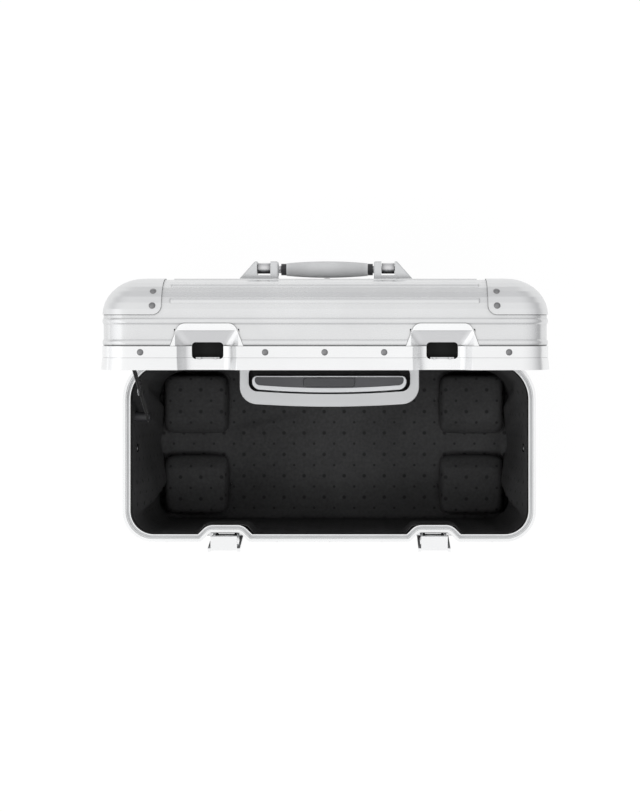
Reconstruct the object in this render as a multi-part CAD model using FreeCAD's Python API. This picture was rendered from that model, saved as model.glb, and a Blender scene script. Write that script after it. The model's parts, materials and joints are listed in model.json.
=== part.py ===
import FreeCAD, Part
import math
import os

os.makedirs("parts", exist_ok=True)
Vec = FreeCAD.Vector
ALONG_X = Vec(1, 0, 0)
ALONG_Y = Vec(0, 1, 0)
ALONG_Z = Vec(0, 0, 1)

# Overall sizes in millimetres. X runs left to right, -Y is the latch side, Z is up from the ground.
RIM_WIDTH = 470.0
RIM_DEPTH = 210.0
BODY_HEIGHT = 292.0
LID_HEIGHT = 92.0
GROUND_CLEARANCE = 20.0
LID_OPEN_ANGLE = 87.0
FRONT_CORNER = 35.0
REAR_CORNER = 48.0
OVERRUN = 20.0
FIT = 0.1
RUNNING_FIT = 0.05
JOINT_GAP = 0.4

# Sheet metal
SHEET = 1.4
BODY_BEND = 34.0
LID_BEND_IN = 40.0
LID_BEND_UP = 37.0
BEND_STEPS = 9
CORNER_DRAW_SHARE = 0.78
SLOPE_SHARE = math.sqrt(2)
RIB_HEIGHT = 1.2
RIB_WIDTH = 6.4
RIB_PITCH = 21.8
BODY_RIBS = 11
BODY_BEND_RIB_SHARES = (0.145, 0.555, 0.96)
LID_BEND_RIB_SHARES = (0.27, 0.63, 0.99)
LID_TOP_RIBS = 6
BODY_BASE_RIBS = 7

# Rim frames
BAND = 1.5
FRAME_WIDTH = 8.0
FRAME_TOP = 8.0
BODY_BAND_DROP = 18.0
LEG_DROP = 14.0
LEG = 1.5
LIP = 3.0
CHANNEL_DEPTH = 4.0
SEAL = 1.0
SEAL_WIDTH = 2.6
LID_INSET = 6.5
LID_SEAT_GAP = 0.4
BEAD_HEIGHT = 12.0
BEAD_FLARE = 1.3
BEAD_GROOVE = 0.8
LID_FRAME_HEIGHT = 24.0
LID_FRAME_WIDTH = 7.0
LID_LEG_HEIGHT = 18.0
LID_FIRST_RIB = 27.6

# Latch jogs, pans and keepers
LATCH_X = 119.0
JOG_DEPTH = 10.5
JOG_HALF = 17.0
JOG_ROUND = 7.0
PAN_DROP = 66.0
PAN_SLOPE = 11.0
PAN_PLATE_HALF = 38.0
PAN_PLATE_DROP = 84.0
PLATE = 1.0
PLATE_ROUND = 9.0
KEEPER_FOOT_HALF = 37.0
KEEPER_HEAD_HALF = 28.0
KEEPER_HEIGHT = 23.0
KEEPER_SCOOP = 16.0
HOLE_HALF = 16.0
HOLE_LOW = 11.0
HOLE_HIGH = 28.0
HOLE_ROUND = 4.0
KEEPER_SEAM = 0.7
CATCH_BAR = 1.8
CATCH_NUB = 1.6
CATCH_NUB_X = 8.0

# Latch lever and claw
LEVER_AJAR = 20.0
CLAW_LEAN_SHARE = 0.6
LEVER_PIVOT_DROP = 25.0
LEVER_PIVOT_IN = 5.2
LEVER_HALF = 15.0
CHEEK = 2.7
LEVER_FRONT = 1.6
LEVER_TOP_DROP = 19.0
LEVER_END_DROP = 50.0
LEVER_DEEP = 7.5
TAB_HALF = 8.2
TAB_LENGTH = 9.0
TAB_LIP = 3.0
EAR = 2.5
EAR_REACH = 3.0
LATCH_PIN = 1.8
CLAW_PIN_DOWN = 13.0
CLAW_PIN_IN = 1.5
CLAW_ARM = 2.8
CLAW_ARM_WIDTH = 4.0
CLAW_PLATE = 2.4
CLAW_FOOT_DROP = 4.0
CLAW_TIP = 3.4
CLAW_TIP_HALF = 15.0
CLAW_REACH = 5.5

# Hinges
HINGE_Y_IN = 1.0
HINGE_UP = 4.2
HINGE_BARREL = 3.7
HINGE_PIN = 1.9
HINGE_INNER_X = 112.0
HINGE_LENGTH = 70.0
HINGE_KNUCKLES = 5
HINGE_LEAF = 1.5
HINGE_LEAF_DROP = 15.0
HINGE_LEAF_RISE = 16.0
HINGE_WEB = 2.0

# Corner guards and rivets
GUARD = 1.1
GUARD_LENGTH = 62.0
GUARD_DEPTH = 58.0
GUARD_DROP = 36.0
GUARD_ROUND = 9.0
GUARD_RIVET_IN = 9.0
GUARD_RIVET_SHARES = (0.17, 0.45)
RIVET_HEAD = 3.3
RIVET_RISE = 1.3
RIVET_SHANK = 1.5
RIVET_FRONT_XS = (-186.0, -60.0, 0.0, 60.0, 186.0)
RIVET_SIDE_YS = (-48.0, 0.0, 40.0)
HINGE_RIVET_SHARES = (0.22, 0.78)
RIVET_ROW_SHARE = 0.72
LEAF_RIVET_SHARE = 0.6
EDGE_SHARE = 0.75
SOFT_SHARE = 0.6

# Telescope handle
BEZEL_HALF = 102.0
BEZEL_FRONT = 49.5
BEZEL_BOW = 3.0
BOW_RUN_SHARE = 0.85
BEZEL_BAR = 14.0
BEZEL_SIDE = 10.0
BEZEL_CORNER = 20.0
BEZEL_TOP_DROP = 0.6
BEZEL_FLANGE = 4.0
BEZEL_EDGE = 1.2
WELL_DEPTH = 30.0
WELL_WALL = 2.0
WELL_FLOOR = 3.0
GRIP_HALF = 87.5
GRIP_FRONT = 65.5
GRIP_REAR = 83.4
GRIP_TOP = 6.0
GRIP_HEIGHT = 20.0
GRIP_CORNER = 9.0
GRIP_EDGE = 1.1
PAD_INSET = 3.0
PAD_BACK = 1.8
PAD_SUNK = 2.0
PAD_PROUD = 0.5
BUTTON_HALF = 29.0
BUTTON_DEPTH = 10.0
BUTTON_PROUD = 1.2
BUTTON_TRAVEL = 3.0
BUTTON_HEIGHT = 6.0
TUBE_X = 62.0
TUBE_Y = 74.5
TUBE_WALL = 1.0
TUBE_GAP = 0.3
OUTER_TUBE = 9.0
TUBE_FOOT_Z = 30.0
STAGE_STEP = 3.0
FOOT_HALF = 11.0
FOOT_HEIGHT = 9.0

# Alcove at the rear of the lid, over the telescope grip
ALCOVE_HALF = 97.0
ALCOVE_FRONT = 56.0
ALCOVE_WALL = 2.0

# Carry handle on the lid
BRACKET_INNER = 50.0
BRACKET_OUTER = 91.5
BRACKET_SHOULDER = 74.0
BRACKET_HEIGHT = 19.5
BRACKET_DEPTH = 22.0
BRACKET_EDGE = 1.5
SLOT_INNER = 57.8
SLOT_OUTER = 71.8
SLOT_FLOOR = 5.2
HANDLE_PIVOT_Y = -32.0
HANDLE_PIVOT_UP = 12.6
HANDLE_PIN = 2.4
HANDLE_EYE = 5.6
HANDLE_ROD = 4.0
HANDLE_REACH = 42.0
HANDLE_CURVE = 14.0
HANDLE_STRAIGHT = 51.0
GRIP_LENGTH_HALF = 43.5
GRIP_END_RADIUS = 6.8
GRIP_MID_RADIUS = 8.8
COLLAR_LENGTH = 5.5
COLLAR_RADIUS = 6.2
BUMPER_RADIUS = 4.0
BUMPER_GAP = 0.5

# Lining
LINING = 2.0
LINING_INSET = 5.2
LINING_FLOOR_GAP = 0.6
LID_LINING_INSET = 12.0
HUMP_WALL = 2.2
HUMP_ROUND = 9.0
HUMP_TOP = 78.0
COVER_WALL = 1.8
CHANNEL_HALF = 82.0
CHANNEL_FRONT = 60.0
STUD_RADIUS = 5.0
STUD_RISE = 2.2
STUD_DROP = 62.0

# Lid strap on the left
STRAP_X = 211.5
STRAP_WIDTH = 10.0
STRAP_THICK = 1.8
STRAP_FOOT_Y = 37.0
STRAP_FOOT_DROP = 37.0
STRAP_HEAD_Y = -1.5
STRAP_HEAD_UP = 12.4
STRAP_SLIDER_SHARE = 0.46
SLIDER_LENGTH = 9.0
SLIDER_WIDTH = 14.0
SLIDER_THICK = 3.4
ANCHOR_RADIUS = 5.5
ANCHOR_PIN = 2.0

# Casters
CASTER_X = 175.0
CASTER_Y = 52.0
WHEEL_RADIUS = 22.0
WHEEL_WIDTH = 10.0
WHEEL_EDGE = 2.5
WHEEL_RECESS = 2.0
HUB_RADIUS = 13.0
AXLE_RADIUS = 2.5
TRAIL = 9.0
LEG_HALF = 3.0
HOUSING_INNER = 35.2
HOUSING_WALL = 1.6
HOUSING_ROOF = 57.0
HOUSING_PLATE = 3.0
HOUSING_FLANGE = 4.0
HOUSING_LIP = 1.2
BOSS_RADIUS = 14.0
BOSS_TOP = 68.0
BEARING_OUTER = 11.0
STEM_RADIUS = 7.0
CROWN_RADIUS = 17.0
CROWN_LOW = 46.5
CROWN_HIGH = 53.0
LEG_HUB = 7.0

# Places worked out from the sizes above
BASE_Z = GROUND_CLEARANCE
RIM_Z = BASE_Z + BODY_HEIGHT
LID_Z = RIM_Z - CHANNEL_DEPTH + LID_SEAT_GAP
LID_TOP = LID_Z + LID_HEIGHT
FACE_Y = -RIM_DEPTH / 2
REAR_Y = RIM_DEPTH / 2
SIDE_X = RIM_WIDTH / 2
HINGE_Y = REAR_Y - HINGE_Y_IN
HINGE_Z = RIM_Z + HINGE_UP
LID_FACE_Y = FACE_Y + LID_INSET
LID_REAR_Y = REAR_Y - LID_INSET
RIB_ROUND = RIB_WIDTH ** 2 / (8 * RIB_HEIGHT) + RIB_HEIGHT / 2
RIB_SUNK = RIB_ROUND - RIB_HEIGHT
HINGE_POINT = Vec(0, HINGE_Y, HINGE_Z)


def slab(x0, x1, y0, y1, z0, z1):
    return Part.makeBox(x1 - x0, y1 - y0, z1 - z0, Vec(x0, y0, z0))


def rod(radius, start, end):
    run = end - start
    return Part.makeCylinder(radius, run.Length, start, run)


def one(shape):
    if len(shape.Solids) != 1:
        raise ValueError("expected one solid, found %d" % len(shape.Solids))
    return shape.Solids[0]


def largest(shape):
    return max(shape.Solids, key=lambda solid: solid.Volume)


def opened(shape):
    turned = shape.copy()
    turned.rotate(HINGE_POINT, ALONG_X, -LID_OPEN_ANGLE)
    return turned


def mirrored_x(shape):
    return shape.mirror(Vec(0, 0, 0), ALONG_X)


def pair(shape):
    return [shape, mirrored_x(shape)]


def save(name, *solids):
    group = solids[0] if len(solids) == 1 else Part.makeCompound(list(solids))
    group.exportStep("parts/%s.step" % name)


def save_lid(name, *solids):
    save(name, *[opened(solid) for solid in solids])


# Outlines are lists of (x, y, radius) in counter-clockwise order
def rounded_wire(corners, z):
    count = len(corners)
    ends = []
    for i in range(count):
        before = Vec(*corners[i - 1][:2], z)
        here = Vec(*corners[i][:2], z)
        after = Vec(*corners[(i + 1) % count][:2], z)
        radius = corners[i][2]
        back = (before - here).normalize()
        on = (after - here).normalize()
        half = back.getAngle(on) / 2
        reach = radius / math.tan(half)
        centre = here + (back + on).normalize() * (radius / math.sin(half))
        middle = centre + (here - centre).normalize() * radius
        ends.append((here + back * reach, middle, here + on * reach))
    edges = []
    for i in range(count):
        start, middle, end = ends[i]
        edges.append(Part.Arc(start, middle, end).toShape())
        edges.append(Part.makeLine(end, ends[(i + 1) % count][0]))
    return Part.Wire(edges)


def inset(corners, distance):
    count = len(corners)
    moved = []
    for i in range(count):
        before = Vec(*corners[i - 1][:2], 0)
        here = Vec(*corners[i][:2], 0)
        after = Vec(*corners[(i + 1) % count][:2], 0)
        come = (here - before).normalize()
        go = (after - here).normalize()
        side = Vec(-come.y, come.x, 0) + Vec(-go.y, go.x, 0)
        left = come.x * go.y - come.y * go.x
        share = 2 / (side.Length ** 2)
        point = here + side * (distance * share)
        radius = corners[i][2] - distance if left > 0 else corners[i][2] + distance
        moved.append((point.x, point.y, max(radius, FIT)))
    return moved


def plain_outline():
    return [
        (-SIDE_X, FACE_Y, FRONT_CORNER),
        (SIDE_X, FACE_Y, FRONT_CORNER),
        (SIDE_X, REAR_Y, REAR_CORNER),
        (-SIDE_X, REAR_Y, REAR_CORNER),
    ]


def jogged_outline():
    corners = plain_outline()
    jogs = []
    for x in (-LATCH_X, LATCH_X):
        mouth = JOG_HALF + JOG_DEPTH
        jogs.append((x - mouth, FACE_Y, JOG_ROUND))
        jogs.append((x - JOG_HALF, FACE_Y + JOG_DEPTH, JOG_ROUND))
        jogs.append((x + JOG_HALF, FACE_Y + JOG_DEPTH, JOG_ROUND))
        jogs.append((x + mouth, FACE_Y, JOG_ROUND))
    return corners[:1] + jogs + corners[1:]


PLAIN = plain_outline()
JOGGED = jogged_outline()


def prism(corners, z0, z1):
    return Part.Face(rounded_wire(corners, z0)).extrude(Vec(0, 0, z1 - z0))


def ring(corners, outer, inner, z0, z1):
    tall = OVERRUN
    core = prism(inset(corners, inner), min(z0, z1) - tall, max(z0, z1) + tall)
    return prism(inset(corners, outer), z0, z1).cut(core)


def flared(corners, inset0, z0, inset1, z1):
    wires = [rounded_wire(inset(corners, inset0), z0), rounded_wire(inset(corners, inset1), z1)]
    return Part.makeLoft(wires, True, True)


def pillow(base, z_open, z_end, bend_in, bend_up):
    """Solid with upright walls, whose far edge bends in to a flat face."""
    way = 1 if z_end > z_open else -1
    walls = inset(PLAIN, base)
    z_bend = z_end - way * bend_up
    wires = []
    for step in range(BEND_STEPS + 1):
        angle = math.pi / 2 * step / BEND_STEPS
        drawn = 1 - math.cos(angle)
        corners = inset(PLAIN, base + bend_in * drawn)
        keep = 1 - CORNER_DRAW_SHARE * drawn
        shaped = [(c[0], c[1], w[2] * keep) for c, w in zip(corners, walls)]
        wires.append(rounded_wire(shaped, z_bend + way * bend_up * math.sin(angle)))
    return prism(walls, z_open, z_bend).fuse(Part.makeLoft(wires, True, True)).removeSplitter()


def bend_spot(base, z_end, way, bend_in, bend_up, share):
    """Inset and height of a spot on the bend, and the outward normal there."""
    angle = math.pi / 2 * share
    depth = base + bend_in * (1 - math.cos(angle))
    height = z_end - way * bend_up * (1 - math.sin(angle))
    out = Vec(math.cos(angle) / bend_in, way * math.sin(angle) / bend_up, 0).normalize()
    return depth, height, out.x, out.y


def wall_rib(base, z):
    path = rounded_wire(inset(PLAIN, base + RIB_SUNK), z)
    start = path.Edges[1].valueAt(path.Edges[1].FirstParameter)
    run = path.Edges[1].tangentAt(path.Edges[1].FirstParameter)
    circle = Part.Wire(Part.makeCircle(RIB_ROUND, start, run))
    ordered = Part.Wire(path.Edges[1:] + path.Edges[:1])
    return ordered.makePipeShell([circle], True, True)


def bend_ribs(base, z_end, way, bend_in, bend_up, shares, half_x, half_y):
    """Straight bars on the front and rear bends and on the two side bends."""
    bars = []
    for share in shares:
        depth, height, out, up = bend_spot(base, z_end, way, bend_in, bend_up, share)
        z = height - up * RIB_SUNK
        for side in (-1, 1):
            y = side * (REAR_Y - depth - out * RIB_SUNK)
            bars.append(rod(RIB_ROUND, Vec(-half_x, y, z), Vec(half_x, y, z)))
            x = side * (SIDE_X - depth - out * RIB_SUNK)
            bars.append(rod(RIB_ROUND, Vec(x, -half_y, z), Vec(x, half_y, z)))
    return bars


def flat_ribs(base, z_end, way, bend_in, count, half_x):
    reach = REAR_Y - base - bend_in
    z = z_end - way * RIB_SUNK
    spacing = 2 * reach / (count + 1)
    rows = [-reach + spacing * (i + 1) for i in range(count)]
    return [rod(RIB_ROUND, Vec(-half_x, y, z), Vec(half_x, y, z)) for y in rows]


# Latch recess: a trough with sloped sides that ends in a ramp
def trough_section(x, base, depth, wall, z):
    """Outline at one height; the sides lie on the jog's slopes, inset by base."""
    side = JOG_HALF + JOG_DEPTH + base * SLOPE_SHARE
    out = JOG_DEPTH * 2
    corners = [
        (x - side - out, FACE_Y - out, FIT),
        (x + side + out, FACE_Y - out, FIT),
        (x + side - depth, FACE_Y + depth, JOG_ROUND + base),
        (x - side + depth, FACE_Y + depth, JOG_ROUND + base),
    ]
    return rounded_wire(inset(corners, -wall), z)


def trough(x, base, wall, z_open, z_deep, z_end):
    deep = JOG_DEPTH + base
    straight = Part.Face(trough_section(x, base, deep, wall, z_open))
    straight = straight.extrude(Vec(0, 0, z_deep - z_open))
    ends = [trough_section(x, base, deep, wall, z_deep),
            trough_section(x, base, base - FIT, wall, z_end)]
    return straight.fuse(Part.makeLoft(ends, True, True)).removeSplitter()


def trough_mouth(base):
    return JOG_HALF + JOG_DEPTH + base * (SLOPE_SHARE - 1) + SHEET * SLOPE_SHARE + FIT


def plate_outline(x, foot_half, head_half, z_foot, z_head, y0, y1):
    """Upright trapezoid plate with two round corners away from the frame."""
    corners = [
        (x - foot_half, z_foot, FIT),
        (x + foot_half, z_foot, FIT),
        (x + head_half, z_head, PLATE_ROUND),
        (x - head_half, z_head, PLATE_ROUND),
    ]
    if z_head < z_foot:
        corners = corners[::-1]
    plate = Part.Face(rounded_wire(corners, 0)).extrude(Vec(0, 0, y1 - y0))
    plate.rotate(Vec(0, 0, 0), ALONG_X, 90)
    plate.translate(Vec(0, y1, 0))
    return plate


def rivet(point, out, grip):
    """Domed head on the surface and a shank that goes in by the grip length."""
    ball = (RIVET_HEAD ** 2 + RIVET_RISE ** 2) / (2 * RIVET_RISE)
    spread = math.asin(RIVET_HEAD / ball) / 2
    crown = Vec(ball * math.sin(spread), 0, RIVET_RISE - ball + ball * math.cos(spread))
    low, top = Vec(0, 0, -grip), Vec(0, 0, RIVET_RISE)
    side = [Vec(RIVET_SHANK, 0, -grip), Vec(RIVET_SHANK, 0, 0), Vec(RIVET_HEAD, 0, 0)]
    edges = [Part.makeLine(low, side[0]), Part.makeLine(side[0], side[1]), Part.makeLine(side[1], side[2]),
             Part.Arc(side[2], crown, top).toShape(), Part.makeLine(top, low)]
    turned = one(Part.Face(Part.Wire(edges)).revolve(Vec(0, 0, 0), ALONG_Z, 360))
    turned.Placement = FreeCAD.Placement(point, FreeCAD.Rotation(ALONG_Z, out))
    return turned


def rivet_hole(point, out):
    radius = RIVET_SHANK + RUNNING_FIT
    return Part.makeCylinder(radius, OVERRUN, point - out * (OVERRUN / 2), out)


def frame_rivet_spots(inset_by, z):
    front = [(Vec(x, FACE_Y + inset_by, z), -ALONG_Y) for x in RIVET_FRONT_XS]
    left = [(Vec(-SIDE_X + inset_by, y, z), -ALONG_X) for y in RIVET_SIDE_YS]
    right = [(Vec(SIDE_X - inset_by, y, z), ALONG_X) for y in RIVET_SIDE_YS]
    return front + left + right


def hinge_rivet_spots(y, z):
    spots = []
    for share in HINGE_RIVET_SHARES:
        for side in (-1, 1):
            x = side * (HINGE_INNER_X + HINGE_LENGTH * share)
            spots.append((Vec(x, y, z), ALONG_Y))
    return spots


def guard_rivet_spots(base, z_end, way, bend_in, bend_up):
    spots = []
    for share in GUARD_RIVET_SHARES:
        depth, height, out, up = bend_spot(base, z_end, way, bend_in, bend_up, share)
        for sx in (-1, 1):
            for sy in (-1, 1):
                x = sx * (SIDE_X - base - GUARD_LENGTH + GUARD_RIVET_IN)
                spots.append((Vec(x, sy * (REAR_Y - depth), height), Vec(0, sy * out, up)))
    return spots


def drilled(shape, spots):
    for point, out in spots:
        shape = shape.cut(rivet_hole(point, out))
    return shape


def guard_region(base, z_end, way, grow):
    """Blocks that bound the four corner guards, with round ends."""
    length = GUARD_LENGTH + grow
    depth = GUARD_DEPTH + grow
    drop = GUARD_DROP + grow
    x0 = SIDE_X - base - length
    y0 = REAR_Y - base - depth
    far_x = SIDE_X + OVERRUN
    far_y = REAR_Y + OVERRUN
    z0 = -drop
    far_z = OVERRUN
    top = [(x0, y0, GUARD_ROUND), (far_x, y0, FIT), (far_x, far_y, FIT), (x0, far_y, FIT)]
    plan = Part.Face(rounded_wire(top, z0)).extrude(Vec(0, 0, far_z - z0))
    side = [(x0, z0, GUARD_ROUND), (far_x, z0, FIT), (far_x, far_z, FIT), (x0, far_z, FIT)]
    front = Part.Face(rounded_wire(side, 0)).extrude(Vec(0, 0, far_y - y0))
    front.rotate(Vec(0, 0, 0), ALONG_X, 90)
    front.translate(Vec(0, far_y, 0))
    block = plan.common(front)
    if way < 0:
        block = block.mirror(Vec(0, 0, 0), ALONG_Z)
    block.translate(Vec(0, 0, z_end))
    behind = [block, mirrored_x(block)]
    return behind + [b.mirror(Vec(0, 0, 0), ALONG_Y) for b in behind]


def caster_spots():
    return [(sx * CASTER_X, sy * CASTER_Y) for sx in (-1, 1) for sy in (-1, 1)]


def wheel_openings(radius, z_top):
    return [rod(radius, Vec(x, y, -OVERRUN), Vec(x, y, z_top)) for x, y in caster_spots()]


# Body shell with ribs, latch cut-outs and wheel openings
def body_shell():
    top = RIM_Z - FRAME_TOP - FIT
    base = BAND + FIT
    solid = pillow(base, top, BASE_Z, BODY_BEND, BODY_BEND)
    half_x = SIDE_X - GUARD_LENGTH - RIB_PITCH / 2
    half_y = REAR_Y - GUARD_DEPTH - RIB_PITCH / 2
    first = RIM_Z - BODY_BAND_DROP - RIB_WIDTH
    ribs = [wall_rib(base, first - RIB_PITCH * i) for i in range(BODY_RIBS)]
    ribs += bend_ribs(base, BASE_Z, -1, BODY_BEND, BODY_BEND, BODY_BEND_RIB_SHARES, half_x, half_y)
    ribs += flat_ribs(base, BASE_Z, -1, BODY_BEND, BODY_BASE_RIBS, half_x)
    keep_out = guard_region(base, BASE_Z, -1, FIT)
    keep_out += wheel_openings(HOUSING_INNER + HOUSING_WALL + HOUSING_FLANGE + FIT, BASE_Z + BODY_BEND)
    cleared = [r.cut(keep_out) for r in ribs]
    solid = solid.fuse(cleared)
    inner = pillow(base + SHEET, top + OVERRUN, BASE_Z + SHEET, BODY_BEND - SHEET, BODY_BEND - SHEET)
    shell = solid.cut(inner)
    for x in (-LATCH_X, LATCH_X):
        mouth = trough_mouth(base)
        hole = slab(x - mouth, x + mouth, FACE_Y - OVERRUN, FACE_Y + OVERRUN,
                    RIM_Z - PAN_DROP - PAN_SLOPE - SHEET - FIT, RIM_Z)
        plate = plate_outline(x, PAN_PLATE_HALF + FIT, KEEPER_HEAD_HALF + FIT, RIM_Z - BODY_BAND_DROP,
                              RIM_Z - PAN_PLATE_DROP - FIT, FACE_Y - OVERRUN, FACE_Y + base)
        shell = shell.cut(hole).cut(plate)
    shell = shell.cut(wheel_openings(HOUSING_INNER + HOUSING_WALL + FIT, BASE_Z + BODY_BEND))
    frame_spots = frame_rivet_spots(0, RIM_Z - BODY_BAND_DROP * RIVET_ROW_SHARE)
    shell = drilled(shell, frame_spots)
    shell = drilled(shell, hinge_rivet_spots(REAR_Y, RIM_Z - HINGE_LEAF_DROP * LEAF_RIVET_SHARE))
    shell = drilled(shell, guard_rivet_spots(base, BASE_Z, -1, BODY_BEND, BODY_BEND))
    return one(shell)


# Body rim frame: band outside the sheet, leg inside it, channel on top
def body_frame():
    top = ring(JOGGED, 0, FRAME_WIDTH, RIM_Z - FRAME_TOP, RIM_Z)
    top = top.cut(ring(JOGGED, LIP, FRAME_WIDTH + OVERRUN, RIM_Z - CHANNEL_DEPTH, RIM_Z + OVERRUN))
    seat = LIP + (FRAME_WIDTH - LIP - SEAL_WIDTH) / 2
    top = top.cut(ring(JOGGED, seat, seat + SEAL_WIDTH, RIM_Z - CHANNEL_DEPTH - SEAL, RIM_Z))
    band = ring(JOGGED, 0, BAND, RIM_Z - BODY_BAND_DROP, RIM_Z - FRAME_TOP)
    inner = BAND + FIT + SHEET + FIT
    leg = ring(JOGGED, inner, inner + LEG, RIM_Z - LEG_DROP, RIM_Z - FRAME_TOP)
    frame = top.fuse([band, leg]).removeSplitter()
    frame = drilled(frame, frame_rivet_spots(0, RIM_Z - BODY_BAND_DROP * RIVET_ROW_SHARE))
    frame = drilled(frame, hinge_rivet_spots(REAR_Y, RIM_Z - HINGE_LEAF_DROP * LEAF_RIVET_SHARE))
    return one(frame)


def rim_seal():
    seat = LIP + (FRAME_WIDTH - LIP - SEAL_WIDTH) / 2
    low = RIM_Z - CHANNEL_DEPTH - SEAL
    return one(ring(JOGGED, seat + FIT, seat + SEAL_WIDTH - FIT, low, low + SEAL))


def body_rivets():
    grip = BAND + SHEET + LEG
    spots = frame_rivet_spots(0, RIM_Z - BODY_BAND_DROP * RIVET_ROW_SHARE)
    rivets = [rivet(point, out, grip) for point, out in spots]
    hinge = hinge_rivet_spots(REAR_Y + HINGE_LEAF, RIM_Z - HINGE_LEAF_DROP * LEAF_RIVET_SHARE)
    rivets += [rivet(point, out, grip) for point, out in hinge]
    base = BAND + FIT
    for point, out in guard_rivet_spots(base, BASE_Z, -1, BODY_BEND, BODY_BEND):
        rivets.append(rivet(point + out * (GUARD + FIT), out, GUARD + FIT + SHEET))
    return rivets


def guards(base, z_open, z_end, way, bend_in, bend_up):
    over = GUARD + FIT
    outer = pillow(base - over, z_open, z_end + way * over, bend_in + over, bend_up + over)
    core = pillow(base - FIT, z_open - way * OVERRUN, z_end + way * FIT, bend_in + FIT, bend_up + FIT)
    skin = outer.cut(core)
    holes = [rivet_hole(p, o) for p, o in guard_rivet_spots(base, z_end, way, bend_in, bend_up)]
    return [skin.common(block).cut(holes) for block in guard_region(base, z_end, way, -FIT)]


def body_guards():
    pieces = guards(BAND + FIT, RIM_Z, BASE_Z, -1, BODY_BEND, BODY_BEND)
    clear = wheel_openings(HOUSING_INNER + HOUSING_WALL + HOUSING_FLANGE + FIT, BASE_Z + BODY_BEND)
    return [one(piece.cut(clear)) for piece in pieces]


# Latch pan: plate on the shell with a trough behind it and two ears for the lever
def latch_pan(x):
    low = RIM_Z - PAN_DROP
    end = low - PAN_SLOPE
    top = RIM_Z - FRAME_TOP - FIT
    behind = slab(x - RIM_DEPTH, x + RIM_DEPTH, FACE_Y + BAND + FIT, 0, BASE_Z, RIM_Z)
    base = BAND + FIT
    skin = trough(x, base, SHEET, top, low, end - SHEET).common(behind)
    plate = plate_outline(x, PAN_PLATE_HALF, KEEPER_HEAD_HALF, RIM_Z - BODY_BAND_DROP - FIT,
                          RIM_Z - PAN_PLATE_DROP, FACE_Y + BAND + FIT - PLATE, FACE_Y + BAND + FIT)
    pan = skin.fuse(plate).cut(trough(x, base, 0, top + OVERRUN, low, end))
    axis = lever_axis(x)
    for side in (-1, 1):
        outer = side * (LEVER_HALF - CHEEK - JOINT_GAP)
        inner = outer - side * EAR
        xs = sorted((x + outer, x + inner))
        ear = slab(xs[0], xs[1], axis.y - EAR_REACH, FACE_Y + JOG_DEPTH + BAND + SHEET / 2,
                   axis.z - EAR_REACH, axis.z + EAR_REACH)
        ear = ear.fuse(rod(EAR_REACH, Vec(xs[0], axis.y, axis.z), Vec(xs[1], axis.y, axis.z)))
        ear = ear.cut(slab(xs[0] - EAR, xs[1] + EAR, axis.y - EAR_REACH - EAR, axis.y,
                           axis.z - OVERRUN, axis.z + OVERRUN).cut(
            rod(EAR_REACH, Vec(xs[0] - EAR, axis.y, axis.z), Vec(xs[1] + EAR, axis.y, axis.z))))
        pan = pan.fuse(ear)
    bore = rod(LATCH_PIN, Vec(x - LEVER_HALF, axis.y, axis.z), Vec(x + LEVER_HALF, axis.y, axis.z))
    return one(pan.cut(bore))


def lever_axis(x):
    return Vec(x, FACE_Y + LEVER_PIVOT_IN, RIM_Z - LEVER_PIVOT_DROP)


def claw_axis(x):
    return lever_axis(x) + Vec(0, CLAW_PIN_IN, -CLAW_PIN_DOWN)


def ajar_lever(shape, x):
    turned = shape.copy()
    turned.rotate(lever_axis(x), ALONG_X, -LEVER_AJAR)
    return turned


def ajar_claw(shape, x):
    turned = shape.copy()
    turned.rotate(claw_axis(x), ALONG_X, LEVER_AJAR * (1 + CLAW_LEAN_SHARE))
    return ajar_lever(turned, x)


def lever_pin(x):
    axis = lever_axis(x)
    half = LEVER_HALF - RUNNING_FIT
    return rod(LATCH_PIN - RUNNING_FIT, axis - ALONG_X * half, axis + ALONG_X * half)


def latch_lever(x):
    axis = lever_axis(x)
    top = RIM_Z - LEVER_TOP_DROP
    low = RIM_Z - LEVER_END_DROP
    back = FACE_Y + LEVER_DEEP
    block = slab(x - LEVER_HALF, x + LEVER_HALF, FACE_Y, back, low, top)
    edges = [e for e in block.Edges if abs(e.tangentAt(e.FirstParameter).x) > 0.9 and
             e.BoundBox.YMax < FACE_Y + FIT]
    block = block.makeFillet(LEVER_FRONT * EDGE_SHARE, edges)
    tab = slab(x - TAB_HALF, x + TAB_HALF, FACE_Y, FACE_Y + LEVER_FRONT, low - TAB_LENGTH, low)
    lip = slab(x - TAB_HALF, x + TAB_HALF, FACE_Y - TAB_LIP, FACE_Y + LEVER_FRONT,
               low - TAB_LENGTH, low - TAB_LENGTH + TAB_LIP)
    inside = LEVER_HALF - CHEEK
    cavity = slab(x - inside, x + inside, FACE_Y + LEVER_FRONT, back + OVERRUN,
                  low + CHEEK, top + OVERRUN)
    bore = rod(LATCH_PIN, axis - ALONG_X * LEVER_HALF * 2, axis + ALONG_X * LEVER_HALF * 2)
    lever = block.cut(cavity).fuse([tab, lip] + claw_trunnions(x)).removeSplitter()
    return one(lever.cut(bore))


def claw_trunnions(x):
    axis = claw_axis(x)
    far = LEVER_HALF + JOINT_GAP + CLAW_ARM
    near = LEVER_HALF - CHEEK
    radius = LATCH_PIN - RUNNING_FIT
    return [rod(radius, axis + ALONG_X * s * near, axis + ALONG_X * s * far) for s in (-1, 1)]


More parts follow.
